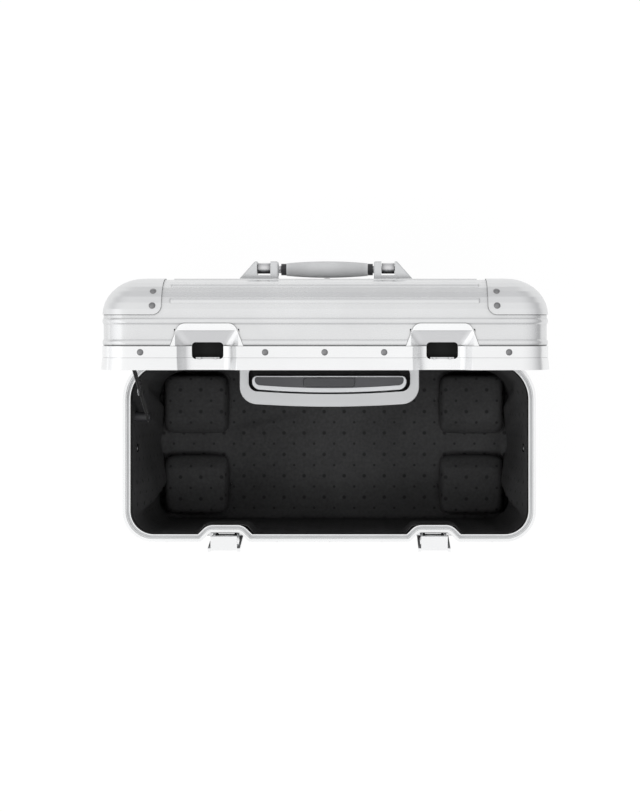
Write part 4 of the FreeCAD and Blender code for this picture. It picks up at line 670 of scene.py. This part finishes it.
def side_creases(y, z, belly):
    """Slanting creases and a pleat of a side wall."""
    lean = abs(y) - (z - CREASE_MIDDLE_Z) * CREASE_LEAN_SHARE
    rise = ease((lean - CREASE_FOOT_Y) / (CREASE_CREST_Y - CREASE_FOOT_Y))
    fall = 1 - ease((lean - CREASE_CREST_Y) / CREASE_DROP)
    crease = CREASE_FRONT if y < 0 else CREASE_REAR
    low_share = ease((LINING_TOP - z) / CREASE_FADE)
    return crease * rise * fall * low_share + PLEAT * belly * fold(lean - PLEAT_Y, PLEAT_WIDTH)


def wall_point(x, y, z):
    """A point of the lining's plain wall, moved by its slack, creases and latch covers."""
    high = (z - LINING_FLOOR) / (LINING_TOP - LINING_FLOOR)
    belly = 4 * high * (1 - high)
    amount = slack(x, y, z, LINING_SLACK, LINING_RIPPLES) + WALL_BELLY * belly
    if abs(x) > SIDE_WALL_X:
        amount += side_creases(y, z, belly)
        amount *= 1.0 - fold(math.hypot(y, z - STUD_Z), STUD_HOLD)
    else:
        lean = (z - LONG_FOLD_MIDDLE_Z) * LONG_FOLD_LEAN_SHARE
        for spot in LONG_FOLD_XS:
            amount += LONG_FOLD * belly * fold(x - spot - lean, LONG_FOLD_WIDTH)
    amount *= ease((LINING_TOP - z) / TOP_HOLD + TOP_SLACK_SHARE)
    if y < FRONT_WALL_Y:
        bulge = pan_bulge(x, z)
        amount = max(amount * (1 - ease(bulge / COVER_TAUT)), 0.0) + bulge
    return push_in((x, y, z), max(amount, 0.0))


def floor_point(x, y, z):
    """A point of the lining's plain floor, raised by its slack and by one long fold."""
    amount = slack(x, y, z, LINING_SLACK, LINING_RIPPLES) + slack(x, y, z, FLOOR_SLACK, (FLOOR_RIPPLE,))
    dx, dy = x - FLOOR_FOLD_START[0], y - FLOOR_FOLD_START[1]
    wx, wy = FLOOR_FOLD_WAY
    along = (dx * wx + dy * wy) / FLOOR_FOLD_LENGTH
    ends = ease(along / FLOOR_FOLD_RISE_SHARE) * ease((1.0 - along) / FLOOR_FOLD_FADE_SHARE)
    amount += FLOOR_FOLD * fold(dy * wx - dx * wy, FLOOR_FOLD_WIDTH) * ends
    return (x, y, z + max(0.0, amount) * FLOOR_REST_SHARE)


def lining_is_there(c):
    """Tells whether the body lining has cloth at a point: none in the wheel wells or behind the trolley."""
    if c.z < WELL_TOP and any(math.hypot(c.x - x, c.y - y) < WELL_RADIUS for x, y in CASTERS):
        return False
    if abs(c.x) < TROLLEY_HALF and c.y > TROLLEY_FRONT_Y:
        return False
    return not (abs(c.x) < BEZEL_HALF and c.y > BEZEL_FRONT_Y and c.z > BEZEL_LOW_Z)


def body_lining():
    """The whole lining: walls, bend and padded floor."""
    bend_z = LINING_FLOOR + LINING_BEND
    wall = rounded(LINING_IN, LINING_FRONT, LINING_REAR)
    rings = []
    for row in range(LINING_ROWS + 1):
        z = LINING_TOP + (bend_z - LINING_TOP) * row / LINING_ROWS
        rings.append([wall_point(x, y, z) for x, y in wall])
    rings += bend_rings(LINING_IN, LINING_BEND, -LINING_BEND, bend_z, LINING_BEND_STEPS,
                        LINING_FRONT, LINING_REAR)
    for ring in flat_rings(LINING_IN + LINING_BEND, LINING_FLOOR, LINING_FLOOR_STEPS,
                           LINING_FRONT, LINING_REAR):
        rings.append([floor_point(*p) for p in ring])
    verts, faces = loft(rings)
    faces.append(end_face(rings))
    return skin("lining_body", verts, faces, lining_is_there)


# Binding along the lining's top edge, open at the trolley bezel
BINDING_DROP = 1.2
BINDING_IN = 1.0
BINDING_RADIUS = 0.8
BINDING_SIDES = 6
BINDING_GAP_HALF = 104.0
STEEP_RUN = 0.9


def binding_path():
    """Points along the lining's top edge, from one end of the gap at the bezel to the other."""
    wall = rounded(LINING_IN, LINING_FRONT, LINING_REAR)
    ring = [wall_point(x, y, LINING_TOP - BINDING_DROP) for x, y in wall]
    run = [p for p in ring if not (abs(p[0]) < BINDING_GAP_HALF and p[1] > BEZEL_FRONT_Y)]
    first = max(range(len(run)), key=lambda i: (Vector(run[i]) - Vector(run[i - 1])).length)
    return [Vector(push_in(p, BINDING_IN)) for p in run[first:] + run[:first]]


def binding():
    """A thin sewn cord, as a mesh tube."""
    path = binding_path()
    rings = []
    for i, p in enumerate(path):
        run = (path[min(i + 1, len(path) - 1)] - path[max(i - 1, 0)]).normalized()
        up = Vector((0, 0, 1)) if abs(run.z) < STEEP_RUN else Vector((1, 0, 0))
        one = run.cross(up).normalized()
        two = run.cross(one).normalized()
        turns = [2 * math.pi * k / BINDING_SIDES for k in range(BINDING_SIDES)]
        rings.append([p + one * (BINDING_RADIUS * math.cos(a)) + two * (BINDING_RADIUS * math.sin(a))
                      for a in turns])
    verts, faces = loft(rings)
    faces += [start_face(rings), end_face(rings)]
    obj = new_mesh("lining_binding", verts, faces)
    smooth(obj)
    return obj


# Cloth-covered panel in front of the trolley tubes
COVER_SIDE = ((81.6, 96.0), (81.6, 84.0), (81.6, 72.0), (81.4, 66.0))
COVER_ROUND = 4.8
COVER_ROUND_X = 76.6
COVER_ROUND_Y = 65.6
COVER_ROUND_STEPS = 6
COVER_FRONT_STEPS = 30
COVER_LOW_Z = 25.4
COVER_HIGH_Z = 277.4
COVER_ROWS = 40
COVER_RIPPLE = (0.35, 40.0, 1.3)
COVER_CROWN = 0.5
COVER_CROWN_X = 30.0
COVER_CROWN_WIDTH = 10.0
COVER_FRONT_FROM_Y = 70.0
COVER_FRONT_FADE = 8.0
SHELL_IN = 7.6
SHELL_BEND = 29.4
SHELL_BEND_Z = 58.0


def cover_profile():
    """The panel from above: left side, front with round corners, right side."""
    quarter = [90 * step / COVER_ROUND_STEPS for step in range(COVER_ROUND_STEPS + 1)]
    profile = [(-x, y) for x, y in COVER_SIDE]
    profile += [on_arc(-COVER_ROUND_X, COVER_ROUND_Y, COVER_ROUND, 180 + a) for a in quarter]
    for step in range(1, COVER_FRONT_STEPS):
        x = COVER_ROUND_X * (2 * step / COVER_FRONT_STEPS - 1)
        profile.append((x, COVER_ROUND_Y - COVER_ROUND))
    profile += [on_arc(COVER_ROUND_X, COVER_ROUND_Y, COVER_ROUND, 270 + a) for a in quarter]
    return profile + list(reversed(COVER_SIDE))


def telescope_cover():
    """The panel, slightly crowned, and kept clear of the body's rear bend."""
    profile = cover_profile()
    rings = []
    for row in range(COVER_ROWS + 1):
        t = row / COVER_ROWS
        z = COVER_LOW_Z + (COVER_HIGH_Z - COVER_LOW_Z) * t
        room = WALL_Y - SHELL_IN - bend_rise(SHELL_BEND_Z - z, SHELL_BEND)
        ring = []
        for x, y in profile:
            crown = COVER_CROWN * fold(abs(x) - COVER_CROWN_X, COVER_CROWN_WIDTH) * math.sin(math.pi * t)
            wave = slack(x, y, z, crown, (COVER_RIPPLE,))
            front = ease((COVER_FRONT_FROM_Y - y) / COVER_FRONT_FADE)
            ring.append((x, min(y - front * max(0.0, wave), room), z))
        rings.append(ring)
    verts, faces = loft(rings, closed=False)
    return skin("telescope_cover_cloth", verts, faces)


# Padded humps over the wheel wells; a level is a share of the height and one of the width
HUMP_HALF = 39.0
HUMP_LOW = 25.6
HUMP_HIGH = 78.6
HUMP_STEPS = 64
HUMP_THICK = 1.0
HUMP_LEVEL_SHARES = (
    (0.0, 1.035), (0.06, 1.0), (0.16, 0.985), (0.3, 0.98), (0.5, 0.98), (0.67, 0.982), (0.8, 0.955),
    (0.89, 0.922), (0.95, 0.885), (0.985, 0.84), (1.005, 0.78), (1.02, 0.66), (1.035, 0.48),
    (1.045, 0.28), (1.05, 0.1))
HUMP_TOP_SHARE = 0.9
HUMP_SIDE_POWER = 9.0
HUMP_TOP_POWER = 6.5
HUMP_DRAWN_SHARE = 0.035
HUMP_DRAWN_AT_SHARE = 0.45
HUMP_DRAWN_REACH_SHARE = 0.3
HUMP_CORNER_WIDTH = 22.0
HUMP_WALL_SHARE = 1.17
HUMP_SLOPE_SHARE = 0.32
HUMP_SLOPE_FROM_SHARE = 0.66
HUMP_SLOPE_REACH_SHARE = 0.40
HUMP_RIPPLE = (0.7, 26.0, 5.2)
HUMP_PUFF_SHARES = (0.5, 0.4)
HUMP_WALL_GAP = 3.2
HUMP_FOOT_GAP = 1.0
HUMP_FOOT_IN = 1.4


def bend_height(gap):
    """Height of a hump's foot at a distance from the rim's side, on the lining's bend to the floor."""
    rise = LINING_BEND - (gap - LINING_IN - HUMP_FOOT_IN)
    return LINING_FLOOR + HUMP_FOOT_GAP + bend_rise(rise, LINING_BEND)


def hump_outline(share, width, a):
    """A point of a hump's level: a square with round corners and sides drawn in."""
    c, s = math.cos(a), math.sin(a)
    power = HUMP_TOP_POWER if share > HUMP_TOP_SHARE else HUMP_SIDE_POWER
    radius = (abs(c) ** power + abs(s) ** power) ** (-1 / power) * HUMP_HALF * width
    x, y = radius * c, radius * s
    middle = fold(share - HUMP_DRAWN_AT_SHARE, HUMP_DRAWN_REACH_SHARE)
    swell = 1.0 - HUMP_DRAWN_SHARE * middle * fold(abs(x) - abs(y), HUMP_CORNER_WIDTH)
    return x * swell, y * swell


def hump_point(cx, cy, share, width, a):
    """A point of the hump at a caster, wider to the side wall and sloped to the middle of the case."""
    z = HUMP_LOW + (HUMP_HIGH - HUMP_LOW) * share / HUMP_LEVEL_SHARES[-1][0]
    x, y = hump_outline(share, width, a)
    if x * cx > 0:
        x *= HUMP_WALL_SHARE
    if y * cy < 0:
        y *= 1.0 - HUMP_SLOPE_SHARE * ease((share - HUMP_SLOPE_FROM_SHARE) / HUMP_SLOPE_REACH_SHARE)
    puff = slack(cx + x, cy + y, z, 0.0, (HUMP_RIPPLE,))
    px, py = cx + x + puff * HUMP_PUFF_SHARES[0], cy + y + puff * HUMP_PUFF_SHARES[1]
    px = math.copysign(min(abs(px), SIDE_X - LINING_IN - HUMP_WALL_GAP), px)
    py = math.copysign(min(abs(py), WALL_Y - LINING_IN - HUMP_WALL_GAP), py)
    rest = max(bend_height(SIDE_X - abs(px)), bend_height(WALL_Y - abs(py)))
    return (px, py, max(z + (puff if share > HUMP_TOP_SHARE else 0.0), rest))


def wheel_hump(name, cx, cy):
    """Padded box over one wheel well, with a crowned top."""
    turns = [2 * math.pi * (i + 0.5) / HUMP_STEPS for i in range(HUMP_STEPS)]
    rings = [[hump_point(cx, cy, share, width, a) for a in turns] for share, width in HUMP_LEVEL_SHARES]
    verts, faces = loft(rings)
    faces.append(end_face(rings))
    obj = new_mesh(name, verts, faces)
    thicken(obj, HUMP_THICK, -1.0)
    return obj


lining = place(body_lining(), "case_body", "lining_fabric")
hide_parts("body_lining", "lining_covers")
cover = place(telescope_cover(), "case_body", "lining_fabric")
for index, (caster_x, caster_y) in enumerate(CASTERS):
    hump = place(wheel_hump("wheel_hump_%d" % index, caster_x, caster_y), "case_body", "lining_fabric")
    if index == 0:
        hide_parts("wheel_humps")
place(binding(), "case_body", "strap_webbing")


# Lid lining, drawn in the closed place and turned open with the lid
LID_IN = 13.2
LID_LOW = 327.2
LID_HIGH = 397.2
LID_BEND_IN = 37.0
LID_BEND_UP = 34.0
LID_FRONT = FRONT_CORNER - LID_IN
LID_REAR = REAR_CORNER - LID_IN
LID_ROWS = 12
LID_BEND_STEPS = 10
LID_TOP_STEPS = 14
LID_WALL_ROWS = LID_ROWS + LID_BEND_STEPS // 2
LID_HOLD_ROWS = 4.0
LID_SLACK = 0.7
LID_RIPPLES = ((0.7, 55.0, 4.4), (0.3, 20.0, 9.1))
LID_FOLD = 1.1
LID_FOLD_START_X = -10.0
LID_FOLD_SLOPE = 1.0 / 3.0
LID_FOLD_OFF = 26.0
LID_FOLD_WIDTH = 8.0
LID_FRONT_Y = -40.0
KEEPER_COVER = 17.0
KEEPER_COVER_HALF = 44.0
KEEPER_COVER_SIDE = 15.0
KEEPER_COVER_TOP_Z = 379.0
KEEPER_COVER_SLOPE = 16.0
KEEPER_DROP = 13.0
KEEPER_FLAT = 0.2
ALCOVE_HALF = 102.5
ALCOVE_FRONT_Y = 50.5


def keeper_share(x, y):
    """How much of a latch keeper's cover lies at a place along the lid's wall, from 0 to 1."""
    return ease((KEEPER_COVER_HALF - from_latch(x)) / KEEPER_COVER_SIDE) if y < LID_FRONT_Y else 0.0


def lid_point(x, y, z, number):
    """A point of the lid lining's plain form on a numbered ring, moved by its slack and keeper covers."""
    amount = max(0.0, slack(x, y, z, LID_SLACK, LID_RIPPLES))
    across = (x - LID_FOLD_START_X) * LID_FOLD_SLOPE - y
    amount += LID_FOLD * fold(abs(across) - LID_FOLD_OFF, LID_FOLD_WIDTH)
    if number > LID_WALL_ROWS:
        return (x, y, z - amount)
    bulge = KEEPER_COVER * keeper_share(x, y) * ease((KEEPER_COVER_TOP_Z - z) / KEEPER_COVER_SLOPE)
    if bulge >= KEEPER_FLAT:
        return (x, y + bulge, z)
    amount *= ease(number / LID_HOLD_ROWS) * (1 - ease(bulge / COVER_TAUT))
    return push_in((x, y + bulge, z), amount)


def lid_lining():
    """The lid's lining: walls with keeper covers, bend and top, cut out for the alcove."""
    bend_z = LID_HIGH - LID_BEND_UP
    wall = rounded(LID_IN, LID_FRONT, LID_REAR)
    rings = []
    for row in range(LID_ROWS + 1):
        t = row / LID_ROWS
        z = LID_LOW + (bend_z - LID_LOW) * t
        rings.append([(x, y, z - KEEPER_DROP * keeper_share(x, y) * (1 - t)) for x, y in wall])
    rings += bend_rings(LID_IN, LID_BEND_IN, LID_BEND_UP, bend_z, LID_BEND_STEPS, LID_FRONT, LID_REAR)
    rings += flat_rings(LID_IN + LID_BEND_IN, LID_HIGH, LID_TOP_STEPS, LID_FRONT, LID_REAR)
    shaped = [[lid_point(*p, number) for p in ring] for number, ring in enumerate(rings)]
    verts, faces = loft(shaped)
    faces.append(end_face(shaped))
    obj = skin("lining_lid", verts, faces, lambda c: abs(c.x) >= ALCOVE_HALF or c.y <= ALCOVE_FRONT_Y)
    for v in obj.data.vertices:
        v.co = Vector(opened(v.co / MM)) * MM
    obj.data.update()
    return obj


lid_cloth = place(lid_lining(), "lid", "lining_fabric")
# The lid lining takes the cloth with painted shade near its front
lid_cloth.data.materials[0] = LID_CLOTH_SHADED
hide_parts("lid_lining")


# Lid strap: two lengths of webbing with sewn ends, one below and one above the slider
STRAP_X = -211.5
STRAP_FOOT = Vector((STRAP_X, 37.0, 275.0))
STRAP_HEAD = Vector(opened((STRAP_X, -1.5, 324.4)))
STRAP_ROWS = 26
STRAP_OUTLINE = ((-5.0, 0.45), (-4.6, 0.85), (0.0, 0.95), (4.6, 0.85), (5.0, 0.45),
                 (5.0, -0.45), (4.6, -0.85), (0.0, -0.95), (-4.6, -0.85), (-5.0, -0.45))
STRAP_LAP = 4.4
SLIDER_SHARE = 0.46
SLIDER_GAP = 4.3
SEWN_SHARES = (0.06, 0.94)
SEWN_REACH_SHARE = 1.0 / 30.0
SEWN_THICKER_SHARE = 0.10


def webbing(name, a, b):
    """Flat webbing from a to b, thicker where its ends are sewn, its thickness along X."""
    run = b - a
    across = Vector((1, 0, 0)).cross(run.normalized()).normalized()
    rings = []
    for row in range(STRAP_ROWS + 1):
        t = row / STRAP_ROWS
        sewn = 1.0 + sum(SEWN_THICKER_SHARE * fold(t - end, SEWN_REACH_SHARE) for end in SEWN_SHARES)
        rings.append([a + run * t + across * w + Vector((h * sewn, 0, 0)) for w, h in STRAP_OUTLINE])
    verts, faces = loft(rings)
    faces += [start_face(rings), end_face(rings)]
    obj = new_mesh(name, verts, faces)
    smooth(obj)
    return obj


strap_run = (STRAP_HEAD - STRAP_FOOT).normalized()
strap_mid = STRAP_FOOT + (STRAP_HEAD - STRAP_FOOT) * SLIDER_SHARE
lower = webbing("strap_lower_web", STRAP_FOOT - strap_run * STRAP_LAP, strap_mid - strap_run * SLIDER_GAP)
place(lower, "case_body", "strap_webbing")
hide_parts("strap_lower")
upper = webbing("strap_upper_web", strap_mid + strap_run * SLIDER_GAP, STRAP_HEAD + strap_run * STRAP_LAP)
dress(upper, "strap_webbing")
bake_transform(upper)
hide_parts("strap_upper")


# Crisp edges and smooth curves on the carried-over solids
EDGE_ANGLE = math.radians(32.0)
for node_object in NODES.values():
    if not node_object.hide_render:
        smooth(node_object)
        edges = node_object.modifiers.new("edges", "EDGE_SPLIT")
        edges.split_angle = EDGE_ANGLE


# Floor, in metres as all of the studio: white to the camera, with a faint shade under the case
FLOOR_RADIUS = 14.0
FLOOR_SEGMENTS = 96
FLOOR_Z = -0.0005
FLOOR_COLOUR = (0.96, 0.96, 0.96, 1.0)
FLOOR_ROUGH = 0.9
FLOOR_GLOW_SHARE = 0.94


def floor_material():
    mat, tree, shader = nodes_of("floor_m")
    shader.inputs["Base Color"].default_value = FLOOR_COLOUR
    shader.inputs["Roughness"].default_value = FLOOR_ROUGH
    rays = add(tree, "ShaderNodeLightPath").outputs
    seen = math_node(tree, "MAXIMUM", rays["Is Camera Ray"], rays["Is Glossy Ray"])
    seen = math_node(tree, "MAXIMUM", seen, rays["Is Transmission Ray"])
    glow = add(tree, "ShaderNodeEmission")
    glow.inputs["Strength"].default_value = 1.0
    both = add(tree, "ShaderNodeMixShader")
    tree.links.new(math_node(tree, "MULTIPLY", seen, FLOOR_GLOW_SHARE), both.inputs[0])
    tree.links.new(shader.outputs[0], both.inputs[1])
    tree.links.new(glow.outputs[0], both.inputs[2])
    tree.links.new(both.outputs[0], tree.nodes["Material Output"].inputs["Surface"])
    return mat


floor_mesh = bpy.data.meshes.new("floor")
floor_disc = bmesh.new()
bmesh.ops.create_circle(floor_disc, cap_ends=True, radius=FLOOR_RADIUS, segments=FLOOR_SEGMENTS)
floor_disc.to_mesh(floor_mesh)
floor_disc.free()
floor_mesh.materials.append(floor_material())
floor = link(bpy.data.objects.new("floor", floor_mesh))
floor.location.z = FLOOR_Z


# Surroundings: a soft white dome, brightest near the top, and partly white to glossy rays
SKY_AXIS = (-0.16, 0.08, 0.984)
SKY_STOPS = [(0.0, (0.40, 0.40, 0.41)), (0.30, (0.64, 0.64, 0.65)), (0.62, (0.90, 0.90, 0.91)),
             (0.84, (1.0, 1.0, 1.0)), (0.97, (1.08, 1.08, 1.08))]
SKY_GLOSSY_SHARE = 0.2


def surroundings():
    world = bpy.data.worlds.new("studio")
    world.use_nodes = True
    sky = world.node_tree
    sky.nodes.clear()
    lean = add(sky, "ShaderNodeVectorMath", operation="DOT_PRODUCT")
    sky.links.new(add(sky, "ShaderNodeTexCoord").outputs["Generated"], lean.inputs[0])
    lean.inputs[1].default_value = SKY_AXIS
    dome = ramp(sky, lean.outputs["Value"], SKY_STOPS)
    rays = add(sky, "ShaderNodeLightPath").outputs
    clear = math_node(sky, "MAXIMUM", rays["Is Camera Ray"], rays["Is Transmission Ray"])
    glossy = math_node(sky, "MULTIPLY", rays["Is Glossy Ray"], SKY_GLOSSY_SHARE)
    clear = math_node(sky, "MAXIMUM", clear, glossy)
    background = add(sky, "ShaderNodeBackground")
    background.inputs["Strength"].default_value = 1.0
    sky.links.new(mixed(sky, clear, dome, WHITE), background.inputs["Color"])
    out = add(sky, "ShaderNodeOutputWorld")
    sky.links.new(background.outputs[0], out.inputs["Surface"])
    return world


scene.world = surroundings()


# Lamps: a key pair over the front, a wash pair at the sides and a large fill from the left
KEY_MIDDLE_X = 0.02
KEY_OFF_X = 0.34
KEY_Y = -0.62
KEY_Z = 2.9
KEY_AIM = (0.0, 0.02, 0.1)
WASH_OFF_X = 1.5
WASH_Y = -0.15
WASH_Z = 2.2
WASH_AIM = (0.0, 0.0, 0.2)
FILL_PLACE = (-1.6, -0.4, 1.2)
FILL_AIM = (0.0, 0.05, 0.3)


def lamp(name, place_m, aim, size, power):
    data = bpy.data.lights.new(name, "AREA")
    data.energy = power
    data.size = size
    obj = link(bpy.data.objects.new(name, data))
    obj.location = place_m
    obj.rotation_euler = (Vector(aim) - Vector(place_m)).to_track_quat("-Z", "Y").to_euler()
    return obj


for side in (-1, 1):
    key = lamp("key", (KEY_MIDDLE_X + KEY_OFF_X * side, KEY_Y, KEY_Z), KEY_AIM, size=0.5, power=10.0)
    wash = lamp("wash", (WASH_OFF_X * side, WASH_Y, WASH_Z), WASH_AIM, size=0.6, power=9.0)
    key.visible_glossy = False
    wash.visible_glossy = False
lamp("fill", FILL_PLACE, FILL_AIM, size=2.4, power=6.0)


# Camera, straight above as in the photograph
CAMERA_PLACE = (0.042, 0.050, 2.132)
SENSOR_WIDTH = 36.0
LENS = 70.94
SHIFT_X = -0.0570
SHIFT_Y = -0.0007

camera_data = bpy.data.cameras.new("camera")
camera_data.sensor_width = SENSOR_WIDTH
camera_data.lens = LENS
camera_data.shift_x = SHIFT_X
camera_data.shift_y = SHIFT_Y
camera = link(bpy.data.objects.new("camera", camera_data))
camera.location = CAMERA_PLACE
camera.rotation_euler = (0.0, 0.0, 0.0)
scene.camera = camera
scene.view_settings.view_transform = "Standard"
